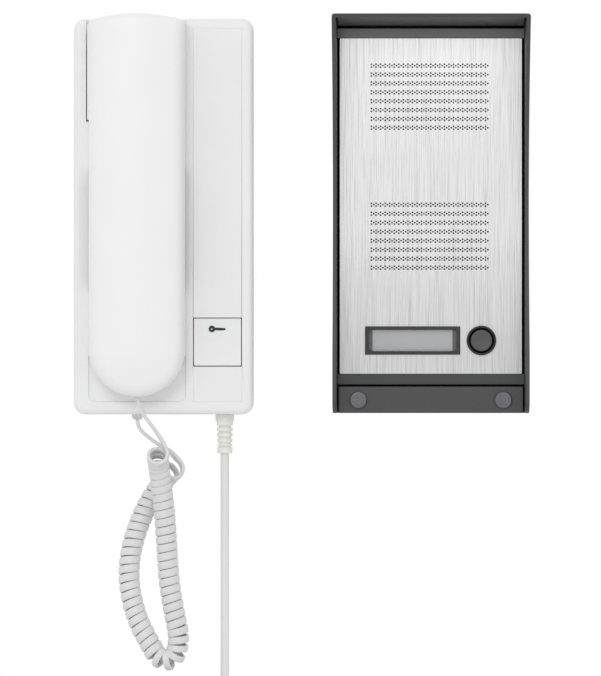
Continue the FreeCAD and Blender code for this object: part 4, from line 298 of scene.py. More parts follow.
def clear(name, colour, alpha):
    """Clear plastic, faintly clouded."""
    tree, shader = new_material(name)
    cloud = noise(tree, object_place(tree), CLEAR_CLOUD_SCALE)
    colours = ramp(tree, cloud, [(0.3, toned(colour, 0.95)), (0.7, colour)])
    tree.links.new(colours, shader.inputs["Base Color"])
    tree.links.new(spread(tree, cloud, 0.08, 0.16), shader.inputs["Roughness"])
    shader.inputs["Alpha"].default_value = alpha


def woven(name, colour):
    """Fine gauze: crossing threads in relief and tone."""
    tree, shader = new_material(name)
    waves = []
    for direction in ((1, 0, 0), (0, 0, 1)):
        node = tree.nodes.new("ShaderNodeTexWave")
        node.inputs["Scale"].default_value = THREAD_SCALE
        tree.links.new(object_place(tree, direction), node.inputs["Vector"])
        waves.append(node.outputs["Fac"])
    weave = greater(tree, *waves)
    colours = ramp(tree, weave, [(0.2, toned(colour, 0.5)), (0.9, colour)])
    tree.links.new(colours, shader.inputs["Base Color"])
    shader.inputs["Roughness"].default_value = 0.9
    bump(tree, shader, weave, 0.3, THREAD_RELIEF)


moulded("white_plastic", (0.84, 0.84, 0.843), 0.42, variation=0.012)
moulded("handset_plastic", (0.87, 0.87, 0.875), 0.36, relief=0.05, variation=0.008)
moulded("strip_plastic", (0.83, 0.83, 0.833), 0.40, relief=0.05, variation=0.01)
moulded("button_plastic", (0.83, 0.83, 0.833), 0.38, relief=0.05, variation=0.01)
moulded("inner_plastic", (0.72, 0.72, 0.70), 0.5)
moulded("cord_pvc", (0.72, 0.72, 0.72), 0.48, grain=1800.0, relief=0.1)
moulded("lead_pvc", (0.77, 0.772, 0.775), 0.45, grain=1500.0, relief=0.08, variation=0.02)
moulded("ivory_rubber", (0.84, 0.845, 0.79), 0.55, relief=0.15)
moulded("cap_plastic", (0.066, 0.066, 0.068), 0.48, grain=1600.0, relief=0.3, variation=0.06)
moulded("hood_plastic", (0.05, 0.05, 0.051), 0.5, grain=1400.0, relief=0.35, variation=0.06)
moulded("panel_plastic", (0.045, 0.045, 0.047), 0.48, grain=1600.0, relief=0.3, variation=0.06)
# Painted light on the panel housing: darker at its foot, and lighter at its top strip against the visor's
# shade
painted_light_by_height("panel_plastic", 0.84, 2.4)
moulded("black_plastic", (0.014, 0.014, 0.015), 0.4, relief=0.15, variation=0.08)
moulded("board", (0.03, 0.16, 0.06), 0.4, variation=0.15)
moulded("card_paper", (0.43, 0.435, 0.44), 0.75, grain=900.0, relief=0.1, variation=0.02)
moulded("silicone", (0.22, 0.22, 0.23), 0.6)
moulded("tie_plastic", (0.6, 0.6, 0.6), 0.5)
moulded("ink", (0.012, 0.012, 0.012), 0.5, relief=0.05)
metal("steel", (0.55, 0.55, 0.56), 0.32)
metal("screw_grey", (0.135, 0.135, 0.14), 0.45, stretch=(0.25, 1, 1), scale=420.0, relief=0.3, variation=0.3)
metal("iron_core", (0.2, 0.2, 0.21), 0.5, stretch=(1, 60, 1), scale=120.0, variation=0.35)
metal("brass_pins", (0.75, 0.74, 0.72), 0.22, relief=0.08)
brushed_sheet("brushed_sheet")
clear("clear_plastic", (0.75, 0.76, 0.77), 0.6)
clear("lens_plastic", (0.8, 0.81, 0.82), 0.05)
woven("gauze", (0.03, 0.03, 0.03))


# Finish and body of a piece
def stand_in(obj, body, *replaced):
    """A piece in the finish of the first CAD node that it stands for, on its body when one is given."""
    slot = slots[replaced[0]]
    obj.data.materials.clear()
    obj.data.materials.append(materials[slot])
    if body:
        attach(obj, body)
    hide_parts(*replaced)
    return obj


def extra(obj, material, body):
    """A small piece beside the CAD nodes, with its material and the body that it rides on."""
    obj.data.materials.append(materials[material])
    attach(obj, body)


# Mesh tolerances in metres, and the angles in degrees below which faces count as one flat face or as smooth
WELD = 1e-6
NODE_WELD = 2e-6
NO_AREA = 1e-7
FLAT_ANGLE = 0.6
SMOOTH_ANGLE = 35.0
NODE_SMOOTH_ANGLE = 40.0

# Sides of a turned piece, and the tolerance in millimetres at which the points of a cut sheet meet
TURNED_SIDES = 96
CUT_TOLERANCE = 1e-5


# Mesh helpers
def mesh_piece(name, points, faces, smooth=True, sharp=SMOOTH_ANGLE):
    """A new mesh object; edges sharper than the angle stay crisp."""
    mesh = bpy.data.meshes.new(name)
    mesh.from_pydata([tuple(p) for p in points], [], faces)
    mesh.validate()
    mesh.update()
    if smooth:
        mesh.polygons.foreach_set("use_smooth", [True] * len(mesh.polygons))
        mesh.set_sharp_from_angle(angle=math.radians(sharp))
    return link(bpy.data.objects.new(name, mesh))


def welded(obj, distance=WELD):
    """Joins points that lie on each other, drops faces without area and turns the faces outwards."""
    work = bmesh.new()
    work.from_mesh(obj.data)
    bmesh.ops.remove_doubles(work, verts=work.verts, dist=distance)
    bmesh.ops.dissolve_degenerate(work, edges=work.edges, dist=NO_AREA)
    bmesh.ops.recalc_face_normals(work, faces=work.faces)
    work.to_mesh(obj.data)
    work.free()
    return obj


def bevelled(obj, width, angle=50.0, segments=3):
    """Rounds the sharp edges of a piece and keeps its flat faces flat in light."""
    rounding = obj.modifiers.new("bevel", "BEVEL")
    rounding.width = width * MM
    rounding.segments = segments
    rounding.limit_method = "ANGLE"
    rounding.angle_limit = math.radians(angle)
    rounding.use_clamp_overlap = False
    rounding.loop_slide = False
    rounding.miter_outer = "MITER_ARC"
    flat = obj.modifiers.new("normals", "WEIGHTED_NORMAL")
    flat.keep_sharp = True
    flat.weight = 80


def thickened(obj, thickness):
    """Gives a flat piece a thickness, half to each side."""
    solid = obj.modifiers.new("thickness", "SOLIDIFY")
    solid.thickness = thickness * MM
    solid.offset = 0.0


def dressed(node, body, width, angle=50.0):
    """A piece with the form of a CAD node, its flat faces made whole and its edges rounded."""
    mesh = nodes[node].data.copy()
    mesh.materials.clear()
    obj = link(bpy.data.objects.new(node + "_look", mesh))
    work = bmesh.new()
    work.from_mesh(mesh)
    bmesh.ops.remove_doubles(work, verts=work.verts, dist=NODE_WELD)
    bmesh.ops.dissolve_limit(work, angle_limit=math.radians(FLAT_ANGLE), verts=work.verts, edges=work.edges)
    bmesh.ops.connect_verts_concave(work, faces=work.faces)
    work.to_mesh(mesh)
    work.free()
    if "custom_normal" in mesh.attributes:
        mesh.attributes.remove(mesh.attributes["custom_normal"])
    mesh.polygons.foreach_set("use_smooth", [True] * len(mesh.polygons))
    mesh.set_sharp_from_angle(angle=math.radians(NODE_SMOOTH_ANGLE))
    bevelled(obj, width, angle)
    return stand_in(obj, body, node)


def boxed(x0, x1, z0, z1, depth0, depth1):
    """Corners and faces of a box between two depths."""
    points = [at(x, z, d) for d in (depth0, depth1) for z in (z0, z1) for x in (x0, x1)]
    faces = [(0, 1, 3, 2), (4, 6, 7, 5), (0, 4, 5, 1), (2, 3, 7, 6), (0, 2, 6, 4), (1, 5, 7, 3)]
    return points, faces


def boxes_piece(name, boxes):
    """Plain boxes in one piece."""
    points, faces = [], []
    for box in boxes:
        corners, sides = boxed(*box)
        faces += [tuple(i + len(points) for i in side) for side in sides]
        points += corners
    return mesh_piece(name, points, faces, smooth=False)


def ring_faces(rings, sides):
    """Faces between closed rings of points that follow each other."""
    faces = []
    for ring in range(rings - 1):
        a, b = ring * sides, (ring + 1) * sides
        for i in range(sides):
            j = (i + 1) % sides
            faces.append((a + i, a + j, b + j, b + i))
    return faces


def grid_faces(rows, width, base=0):
    """Faces between open rows of points, from the point numbered base."""
    corners = [base + row * width + i for row in range(rows - 1) for i in range(width - 1)]
    return [(a, a + 1, a + width + 1, a + width) for a in corners]


def circle(x, z, radius, sides, phase=0.0):
    """Points of a circle in the wall's plane; the phase turns it by a share of a side."""
    turns = [2 * math.pi * (i + phase) / sides for i in range(sides)]
    return [(x + radius * math.cos(turn), z + radius * math.sin(turn)) for turn in turns]


def turned(name, x, z, profile):
    """A piece turned about an axis square to the wall, from (radius, depth) pairs."""
    points = []
    for radius, depth in profile:
        points += [at(*place, depth) for place in circle(x, z, radius, TURNED_SIDES)]
    return welded(mesh_piece(name, points, ring_faces(len(profile), TURNED_SIDES)))


def cut_sheet(outline, holes):
    """Flat points and triangles of an outline with holes in it."""
    flat, edges, owner = [], [], []
    for number, loop in enumerate([outline] + holes):
        first = len(flat)
        flat += [Vector(p) for p in loop]
        owner += [number] * len(loop)
        edges += [(first + i, first + (i + 1) % len(loop)) for i in range(len(loop))]
    places, _, triangles, sources, *_ = delaunay_2d_cdt(flat, edges, [], 1, CUT_TOLERANCE)
    loops = [owner[source[0]] if source else 0 for source in sources]
    faces = []
    for triangle in triangles:
        owners = {loops[v] for v in triangle}
        if len(owners) > 1 or 0 in owners:
            faces.append(tuple(triangle))
    return places, faces


# Line helpers
def eased(share):
    """A share held between 0 and 1, with a soft start and end."""
    share = min(max(share, 0.0), 1.0)
    return share * share * (3 - 2 * share)


def spline(name, points, resolution):
    """A NURBS curve with the points as its control points, and no thickness."""
    data = bpy.data.curves.new(name, "CURVE")
    data.dimensions = "3D"
    data.resolution_u = resolution
    line = data.splines.new("NURBS")
    line.points.add(len(points) - 1)
    for point, place in zip(line.points, points):
        point.co = (*place, 1.0)
    line.order_u = 3
    line.use_endpoint_u = True
    return link(bpy.data.objects.new(name, data))


def read_spline(points, resolution=24):
    """Close points along the NURBS curve of a route."""
    obj = spline("route", points, resolution)
    mesh = bpy.data.meshes.new_from_object(obj)
    line = [v.co.copy() for v in mesh.vertices]
    bpy.data.objects.remove(obj)
    bpy.data.meshes.remove(mesh)
    return line


def run_length(line):
    """The length along a line of points."""
    return sum((b - a).length for a, b in zip(line, line[1:]))


def evenly(line, count):
    """The same line in count even steps, and the length of a step."""
    runs = [0.0]
    for a, b in zip(line, line[1:]):
        runs.append(runs[-1] + (b - a).length)
    out, i = [], 0
    for k in range(count + 1):
        target = runs[-1] * k / count
        while i < len(runs) - 2 and runs[i + 1] < target:
            i += 1
        share = (target - runs[i]) / max(runs[i + 1] - runs[i], 1e-12)
        out.append(line[i].lerp(line[i + 1], min(max(share, 0.0), 1.0)))
    return out, runs[-1] / count


def directions(line):
    """The direction of a line at each of its points."""
    last = len(line) - 1
    return [(line[min(i + 1, last)] - line[max(i - 1, 0)]).normalized() for i in range(len(line))]


def mirrored(vector, across):
    """A vector mirrored in the plane square to another."""
    return vector - across * (2 / across.dot(across) * across.dot(vector))


def carried(line, along):
    """A direction square to a line at each point, carried without twist by two mirrorings a step."""
    sides = [Vector((0, 0, 1)).cross(along[0]).normalized()]
    for i in range(len(line) - 1):
        step = line[i + 1] - line[i]
        side = mirrored(sides[-1], step)
        turn = along[i + 1] - mirrored(along[i], step)
        sides.append(mirrored(side, turn) if turn.dot(turn) > 1e-14 else side)
    return sides


# The curly cord: a flat ribbon wound around the spline of its route
CORD_WIDTH = 4.05
CORD_THICKNESS = 1.8
CORD_EDGE_STEPS = 6
CURL_RADIUS = 4.4
CURL_PITCH = 4.3
CURL_START = math.radians(150.0)
CURL_END = math.radians(97.0)
CURL_FLARE = 1.7
CURL_START_FLARE = 1.1
CURL_FLARE_LENGTH = 5.0
CURL_ROUTE = [
    (-2.7, -39.0, -118.9), (-2.8, -31.5, -122.6), (-1.6, -25.6, -131.5), (0.0, -23.0, -144.0),
    (1.2, -21.5, -159.0), (1.9, -20.5, -172.0), (2.8, -20.0, -184.0), (5.0, -20.0, -197.5),
    (8.0, -20.0, -211.0), (5.4, -20.0, -221.9), (-2.2, -19.8, -222.1), (-7.2, -19.0, -213.4),
    (-12.6, -18.0, -203.5), (-16.6, -17.0, -190.5), (-17.8, -16.0, -178.0), (-16.2, -15.0, -165.0),
    (-11.9, -13.5, -152.0), (-6.6, -12.8, -141.3), (-0.6, -13.0, -133.0), (3.6, -16.0, -126.8),
    (5.3, -22.0, -124.2),
]
CURL_ROUTE_STEPS = 3200

# Where the route bends, the ribbon narrows to keep clear of its next turn; the window counts route steps
BEND_WIDTH = 3.4
BEND_SPARE = 0.2
BEND_WINDOW = 24

# The tails lead straight on from the winding, and turn their width from edge-on over their second part
HANDSET_TAIL = [(-12.6, -39.2, -90.7), (-12.6, -39.2, -94.4), (-9.3, -38.6, -100.0), (-4.6, -37.4, -106.2)]
BASE_TAIL = [(-13.3, -14.0, -101.6), (-13.3, -14.0, -104.8), (-9.8, -14.3, -109.0), (-3.6, -15.2, -113.6)]
TAIL_LEAD_IN = (5.8, 2.3)
TAIL_STEPS = 60
TAIL_EDGE_ON_SHARE = 0.45


def curly_line():
    """Places along the wound ribbon, each with the direction of its width and its width."""
    line, step = evenly(read_spline([mm(*p) for p in CURL_ROUTE]), CURL_ROUTE_STEPS)
    along = directions(line)
    sides = carried(line, along)
    last = len(line) - 1
    radius, pitch, reach = CURL_RADIUS * MM, CURL_PITCH * MM, CURL_FLARE_LENGTH * MM
    phase = [CURL_START]
    for _ in range(last):
        phase.append(phase[-1] + 2 * math.pi * step / pitch)
    end = phase[-1] - (phase[-1] - CURL_END) % (2 * math.pi)
    out = []
    for i, turn in enumerate(phase):
        if turn > end:
            break
        flare = (1 + (CURL_FLARE - 1) * math.exp(-(last - i) * step / reach)
                 + (CURL_START_FLARE - 1) * math.exp(-i * step / reach))
        outward = sides[i] * math.cos(turn) + along[i].cross(sides[i]) * math.sin(turn)
        low, high = max(i - BEND_WINDOW, 0), min(i + BEND_WINDOW, last)
        bend = (along[high] - along[low]).length / (step * (high - low))
        room = pitch * (1 - bend * radius) + BEND_SPARE * MM
        width = min(CORD_WIDTH * MM, max(BEND_WIDTH * MM, room))
        out.append((line[i] + outward * radius * flare, along[i], width))
    return out


def ribbon(name, line, widths, across, thickness):
    """A flat cord with round edges, swept along a line; across holds the direction of its width."""
    half = thickness / 2
    section = []
    for side in (1, -1):
        for k in range(CORD_EDGE_STEPS + 1):
            turn = -side * math.pi / 2 + math.pi * k / CORD_EDGE_STEPS
            section.append((side, math.cos(turn) * half, math.sin(turn) * half))
    points = []
    for centre, tangent, direction, width in zip(line, directions(line), across, widths):
        wide = (direction - tangent * direction.dot(tangent)).normalized()
        thick = tangent.cross(wide)
        points += [centre + wide * (side * (width / 2 - half) + reach) + thick * height
                   for side, reach, height in section]
    count = len(section)
    faces = ring_faces(len(line), count)
    faces.append(tuple(range(count)))
    faces.append(tuple(reversed(range(len(points) - count, len(points)))))
    return mesh_piece(name, points, faces, sharp=60.0)


def facing(direction, other):
    """The direction, turned round where it points away from another."""
    return -direction if other.dot(direction) < 0 else direction


def turning(free, wound):
    """The direction of the ribbon's width along a tail, from its free end to the winding."""
    out = []
    for i in range(TAIL_STEPS):
        share = eased((i / TAIL_STEPS - TAIL_EDGE_ON_SHARE) / (1 - TAIL_EDGE_ON_SHARE))
        out.append(free.lerp(wound, share).normalized())
    return out


def handset_cord():
    """The curly cord from the handset to the base plug as one ribbon, and the line that it follows."""
    coil = curly_line()
    kept = coil[::2]
    if kept[-1] is not coil[-1]:
        kept.append(coil[-1])
    (first, start_wide, _), (last, end_wide, _) = kept[0], kept[-1]
    leave = (kept[1][0] - first).normalized()
    arrive = (last - kept[-2][0]).normalized()
    top = [mm(*p) for p in HANDSET_TAIL] + [first - leave * reach * MM for reach in TAIL_LEAD_IN] + [first]
    low = [mm(*p) for p in BASE_TAIL] + [last + arrive * reach * MM for reach in TAIL_LEAD_IN] + [last]
    upper, lower = (evenly(read_spline(tail), TAIL_STEPS)[0][:-1] for tail in (top, low))
    line = upper + [place for place, _, _ in kept] + lower[::-1]
    edge_on = Vector((0, 1, 0))
    across = (turning(facing(edge_on, start_wide), start_wide) + [wide for _, wide, _ in kept]
              + turning(facing(edge_on, end_wide), end_wide)[::-1])
    full = [CORD_WIDTH * MM] * TAIL_STEPS
    widths = full + [width for _, _, width in kept] + full
    cord = ribbon("handset_cord", line, widths, across, CORD_THICKNESS * MM)
    stand_in(cord, None, "handset_cord_curls", "handset_cord_upper_tail", "handset_cord_lower_tail")
    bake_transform(cord)
    return cord, line


# The mains lead: its drop, the put-away coil just below the view, and the short tail to the plug
LEAD_DIAMETER = 4.3
LEAD_X = 30.5
LEAD_DEPTH = 12.0
LEAD_DROP_Z = (-118.5, -140.0, -200.0, -250.0)
LEAD_RESOLUTION = 8
LEAD_ROUNDNESS = 5
COIL_Z = -268.0
COIL_OUTER_RADIUS = 31.0
COIL_PITCH = 5.0
COIL_LAYERS = 4
COIL_TURNS_PER_LAYER = 2
COIL_POINTS_PER_TURN = 16
LEAD_TAIL_DROPS = (12.0, 26.3)

# The plug's outline, as (distance down, half width, half thickness). Its section turns from round to nearly
# square where it is wider than PLUG_ROUND_HALF, over PLUG_SQUARE_GAIN more
PLUG_TOP_Z = COIL_Z - LEAD_DIAMETER - 22.0
PLUG_SIDES = 64
PLUG_ROUND_HALF = 4.0
PLUG_SQUARE_GAIN = 8.0
PLUG_RINGS = [
    (0.0, 3.0, 3.0), (1.2, 3.3, 3.3), (1.6, 2.9, 2.9), (2.2, 2.9, 2.9), (2.6, 3.4, 3.4), (4.0, 3.5, 3.5),
    (4.4, 3.0, 3.0), (5.0, 3.0, 3.0), (5.4, 3.5, 3.5), (7.0, 3.6, 3.6), (9.0, 5.4, 4.6), (10.5, 7.4, 5.2),
    (14.0, 9.2, 5.8), (20.0, 11.4, 6.3), (26.0, 12.7, 6.7), (27.5, 13.0, 6.8), (41.0, 13.0, 6.8),
    (42.3, 12.7, 6.6), (43.0, 12.0, 6.0),
]


def lead_route():
    """Control points of the lead, a drop and then spirals in and out a pitch apart, and its tail's depth."""
    points = [mm(LEAD_X, -LEAD_DEPTH, z) for z in LEAD_DROP_Z]
    centre_x = LEAD_X - COIL_OUTER_RADIUS
    layer_halves = 2 * COIL_TURNS_PER_LAYER
    halves = layer_halves * COIL_LAYERS
    steps = halves * COIL_POINTS_PER_TURN // 2
    for i in range(steps + 1):
        done = halves * i / steps
        layer = min(int(done / layer_halves), COIL_LAYERS - 1)
        part = done / layer_halves - layer
        inward = part if layer % 2 == 0 else 1 - part
        radius = COIL_OUTER_RADIUS - inward * COIL_PITCH * COIL_TURNS_PER_LAYER
        climb = sum(eased(done - joint * layer_halves + 0.5) for joint in range(1, COIL_LAYERS))
        depth = LEAD_DEPTH + climb * COIL_PITCH
        turn = -done * math.pi
        points.append(mm(centre_x + radius * math.cos(turn), -depth, COIL_Z + radius * math.sin(turn)))
    points += [mm(LEAD_X, -depth, COIL_Z - drop) for drop in LEAD_TAIL_DROPS]
    return points, depth


def mains_lead(points):
    """The lead as a curve with a round section."""
    lead = spline("mains_lead", points, LEAD_RESOLUTION)
    lead.data.bevel_depth = LEAD_DIAMETER * MM / 2
    lead.data.bevel_resolution = LEAD_ROUNDNESS
    lead.data.use_fill_caps = True
    return stand_in(lead, "station", "lead_drop", "lead_coil", "lead_tail")


def plug_body(depth):
    """The flat plug: a body with rounded corners, a waist and a ribbed neck for the lead."""
    points = []
    for down, half_w, half_t in PLUG_RINGS:
        square = min(max((half_w - PLUG_ROUND_HALF) / PLUG_SQUARE_GAIN, 0.0), 1.0)
        power = 2.0 + 0.8 * square
        for i in range(PLUG_SIDES):
            turn = 2 * math.pi * i / PLUG_SIDES
            across, out = math.cos(turn), math.sin(turn)
            x = half_w * math.copysign(abs(across) ** (2 / (power - 0.9 * square)), across)
            y = half_t * math.copysign(abs(out) ** (2 / power), out)
            points.append(mm(LEAD_X + x, -depth + y, PLUG_TOP_Z - down))
    faces = ring_faces(len(PLUG_RINGS), PLUG_SIDES)
    faces.append(tuple(range(PLUG_SIDES)))
    faces.append(tuple(range(len(points) - PLUG_SIDES, len(points))))
    body = welded(mesh_piece("lead_plug_body_look", points, faces, sharp=40.0))
    return stand_in(body, "station", "lead_plug_body")


def cords():
    """Both cords, with what is on them."""
    cord, line = handset_cord()
    plug = dressed("handset_cord_plug", "station", 0.25)
    points, tail_depth = lead_route()
    lead = mains_lead(points)
    body = plug_body(tail_depth)
    pins = dressed("lead_plug_pins", "station", 0.2, angle=30.0)
    tie = dressed("lead_tie", "station", 0.4)
    length = run_length(read_spline(points, LEAD_RESOLUTION))


# Handset: the smooth domed front half
HANDSET_X = -13.2
HANDSET_HALF = 24.0
HANDSET_LEFT = HANDSET_X - HANDSET_HALF
HANDSET_RIGHT = HANDSET_X + HANDSET_HALF
HANDSET_TOP = 97.6
HANDSET_RISE = 3.4
HANDSET_ARCH = (HANDSET_HALF ** 2 + HANDSET_RISE ** 2) / (2 * HANDSET_RISE)
HANDSET_END_Z = -66.1
HANDSET_FRONT = 55.0
HANDSET_PARTING = 36.0
HANDSET_DOME = 70.0
HANDSET_EDGE = 8.0
HANDSET_TOP_ROUND = 3.0
PARTING_GROOVE = 0.25
FLANK_STEPS = 6
EDGE_STEPS = 14
DOME_STEPS = 22
TOP_ROUND_STEPS = 8
RUN_STEPS = 40
END_STEPS = 56

# Near the handset's sides the top's rounding shrinks to a share of itself
TOP_ROUND_FADE = 0.4
TOP_ROUND_SIDE_SHARE = 0.12

# Points of the handset that lie this near to each other, in metres, are joined
HANDSET_WELD = 2e-5

# The lip along the handset's side beside the earpiece
LIP_REACH = 0.95
LIP_SINK = 0.3
LIP_Z = (48.2, HANDSET_TOP - 1.5)
LIP_DEPTHS = (30.0, 35.9)


def cross_section():
    """Half of the handset's section from the parting line to its crown, as (distance across, depth) pairs."""
    centre = HANDSET_FRONT - HANDSET_DOME
    reach = HANDSET_HALF - HANDSET_EDGE
    lean = math.asin(reach / (HANDSET_DOME - HANDSET_EDGE))
    shoulder = centre + (HANDSET_DOME - HANDSET_EDGE) * math.cos(lean)
    foot = HANDSET_PARTING + PARTING_GROOVE
    out = [(HANDSET_HALF - PARTING_GROOVE, HANDSET_PARTING), (HANDSET_HALF, foot)]
    for i in range(1, FLANK_STEPS):
        out.append((HANDSET_HALF, foot + (shoulder - foot) * i / FLANK_STEPS))
    for i in range(EDGE_STEPS + 1):
        turn = (math.pi / 2 - lean) * i / EDGE_STEPS
        out.append((reach + HANDSET_EDGE * math.cos(turn), shoulder + HANDSET_EDGE * math.sin(turn)))
    for i in range(1, DOME_STEPS + 1):
        turn = lean * (1 - i / DOME_STEPS)
        out.append((HANDSET_DOME * math.sin(turn), centre + HANDSET_DOME * math.cos(turn)))
    return out


def arch_z(across):
    """Height of the handset's arched top at a distance from its middle."""
    return HANDSET_TOP + HANDSET_RISE - (HANDSET_ARCH - math.sqrt(HANDSET_ARCH ** 2 - across ** 2))


def handset_front():
    """The front half of the handset: a straight run under the arched top, closed below by a half turn."""
    half = cross_section()
    section = [(-across, depth) for across, depth in half] + half[-2::-1]
    width = len(section)
    radius = HANDSET_TOP_ROUND
    points = []
    for i in range(TOP_ROUND_STEPS, -1, -1):
        turn = math.pi / 2 * i / TOP_ROUND_STEPS
        drop, sink = radius - radius * math.sin(turn), radius - radius * math.cos(turn)
        for across, depth in section:
            share = min(1.0, (HANDSET_HALF - abs(across)) / TOP_ROUND_FADE + TOP_ROUND_SIDE_SHARE)
            if depth > HANDSET_PARTING + radius:
                depth = max(HANDSET_PARTING, depth - sink)
            points.append(at(HANDSET_X + across, arch_z(across) - drop * share, depth))
    for i in range(1, RUN_STEPS + 1):
        share = i / RUN_STEPS
        for across, depth in section:
            z = (arch_z(across) - radius) * (1 - share) + HANDSET_END_Z * share
            points.append(at(HANDSET_X + across, z, depth))
    faces = grid_faces(TOP_ROUND_STEPS + 1 + RUN_STEPS, width)
    end = len(points)
    for i in range(END_STEPS + 1):
        turn = math.pi * i / END_STEPS
        side, down = math.cos(turn), math.sin(turn)
        for across, depth in half:
            points.append(at(HANDSET_X - across * side, HANDSET_END_Z - across * down, depth))
    faces += grid_faces(END_STEPS + 1, len(half), end)
    wall = len(points)
    points += [at(HANDSET_X + across, arch_z(across), HANDSET_PARTING) for across, _ in section]
    faces += [(wall + i, wall + i + 1, i + 1, i) for i in range(width - 1)]
    obj = welded(mesh_piece("handset_front_look", points, faces, sharp=50.0), HANDSET_WELD)
    stand_in(obj, "handset", "handset_outer_shell")


def side_lip():
    """A narrow lip along the handset's side beside the earpiece."""
    box = boxed(HANDSET_LEFT - LIP_REACH, HANDSET_LEFT + LIP_SINK, *LIP_Z, *LIP_DEPTHS)
    obj = welded(mesh_piece("handset_side_lip", *box))
    bevelled(obj, width=0.4, angle=30.0)
    extra(obj, "handset_plastic", "handset")


# Indoor base: the strips with the shallow bottoms of the grooves around them
BASE_FRONT = 27.0
STRIP_X = (14.8, 39.0)
STRIP_DEPTHS = (25.5, BASE_FRONT)
UPPER_STRIP_Z = (-50.55, 94.2)
LOWER_STRIP_Z = (-92.7, -75.05)
UPPER_SEAM_Z = (-50.0, 94.2)
LOWER_SEAM_Z = (-92.7, -75.3)
SEAM_DEPTHS = (26.2, 26.82)
SEAM_HALF = 0.25

# The cradle: its rims beside the handset, and its floor around the handset's round foot
RIM_DEPTHS = (24.7, 26.97)
RIM_FOOT = -70.0
RIGHT_RIM_X = (HANDSET_RIGHT - 0.3, HANDSET_RIGHT + 0.4)
RIGHT_RIM_TOP = 96.0
LEFT_RIM_X = (HANDSET_LEFT - 0.5, HANDSET_LEFT + 0.3)
LEFT_RIM_TOP = 46.4
FLOOR_X = (HANDSET_LEFT - 0.35, HANDSET_RIGHT + 0.25)
FLOOR_Z = (-92.65, -70.2)
FLOOR_CORNER = 1.5
FLOOR_CUT_RADIUS = 22.3
FLOOR_CUT_STEPS = 36
FLOOR_DEPTH = 25.45
FLOOR_THICKNESS = 1.5


def strip(name, node, heights):
    """A flush strip with softly rounded edges."""
    obj = welded(mesh_piece(name, *boxed(*STRIP_X, *heights, *STRIP_DEPTHS)))
    bevelled(obj, width=0.2, angle=30.0, segments=4)
    stand_in(obj, "station", node)


def seam(name, heights, end):
    """The shallow bottom of the groove around a strip; end is the height of its cross piece."""
    upright = [(x - SEAM_HALF, x + SEAM_HALF, *heights, *SEAM_DEPTHS) for x in STRIP_X]
    level = (*STRIP_X, end - SEAM_HALF, end + SEAM_HALF, *SEAM_DEPTHS)
    extra(boxes_piece(name, [*upright, level]), "white_plastic", "station")


def cradle():
    """The cradle's rims below the handset's sides, and the shallow floor around its foot."""
    rims = boxes_piece("cradle_rims", [(*RIGHT_RIM_X, RIM_FOOT, RIGHT_RIM_TOP, *RIM_DEPTHS),
                                       (*LEFT_RIM_X, RIM_FOOT, LEFT_RIM_TOP, *RIM_DEPTHS)])
    extra(rims, "white_plastic", "station")
    (left, right), (foot, top) = FLOOR_X, FLOOR_Z
    start = math.asin((top - HANDSET_END_Z) / FLOOR_CUT_RADIUS)
    outline = [(left, foot + FLOOR_CORNER), (left + FLOOR_CORNER, foot), (right - FLOOR_CORNER, foot),
               (right, foot + FLOOR_CORNER), (right, top)]
    for i in range(FLOOR_CUT_STEPS + 1):
        turn = start - (math.pi + 2 * start) * i / FLOOR_CUT_STEPS
        outline.append((HANDSET_X + FLOOR_CUT_RADIUS * math.cos(turn),
                        HANDSET_END_Z + FLOOR_CUT_RADIUS * math.sin(turn)))
    outline.append((left, top))
    places, faces = cut_sheet(outline, [])
    floor = mesh_piece("cradle_floor", [at(p.x, p.y, FLOOR_DEPTH) for p in places], faces, smooth=False)
    thickened(floor, FLOOR_THICKNESS)
    extra(floor, "white_plastic", "station")


# The key on the release button follows the button's shallow dish; its hole and bit are placed from its bow
KEY_DISH_CENTRE = (26.9, -62.8)
KEY_DISH_RADIUS = 150.0
KEY_DISH_DEPTH = 0.45
KEY_BOW = (24.15, -56.2)
KEY_BOW_RADIUS = 1.65
KEY_BOW_STEPS = 40
KEY_HOLE = (-0.15, -0.1)
KEY_HOLE_RADIUS = 0.38
KEY_HOLE_SIDES = 32
KEY_SHAFT_HALF = 0.62
KEY_BIT = [(3.4, -0.8), (6.3, -0.62), (6.7, -0.45), (6.85, -0.1), (6.7, 0.25), (6.3, 0.42), (3.4, 0.6)]
KEY_PROUD = 0.05
KEY_THICKNESS = 0.12


def key_sign():
    """A plain key drawn on the button: a bow with a hole, a shaft and a small bit."""
    bow_x, bow_z = KEY_BOW
    hole = circle(bow_x + KEY_HOLE[0], bow_z + KEY_HOLE[1], KEY_HOLE_RADIUS, KEY_HOLE_SIDES)
    start = math.asin(KEY_SHAFT_HALF / KEY_BOW_RADIUS)
    outer = []
    for i in range(KEY_BOW_STEPS + 1):
        turn = start + (2 * math.pi - 2 * start) * i / KEY_BOW_STEPS
        outer.append((bow_x + KEY_BOW_RADIUS * math.cos(turn), bow_z + KEY_BOW_RADIUS * math.sin(turn)))
    outer += [(bow_x + x, bow_z + z) for x, z in KEY_BIT]
    places, faces = cut_sheet(outer, [hole])
    points = []
    for p in places:
        rise = ((p.x - KEY_DISH_CENTRE[0]) ** 2 + (p.y - KEY_DISH_CENTRE[1]) ** 2) / (2 * KEY_DISH_RADIUS)
        points.append(at(p.x, p.y, BASE_FRONT - KEY_DISH_DEPTH + rise + KEY_PROUD))
    obj = mesh_piece("key_sign", points, faces, smooth=False)
    thickened(obj, KEY_THICKNESS)
    extra(obj, "ink", "release_key")


# Outdoor panel: the visor's underside, as its section's (height, depth) corners
VISOR_X = 133.6
VISOR_HALF = 46.6
VISOR_SECTION = ((99.4, 51.2), (99.0, 51.2), (95.4, 31.4), (99.4, 31.4))

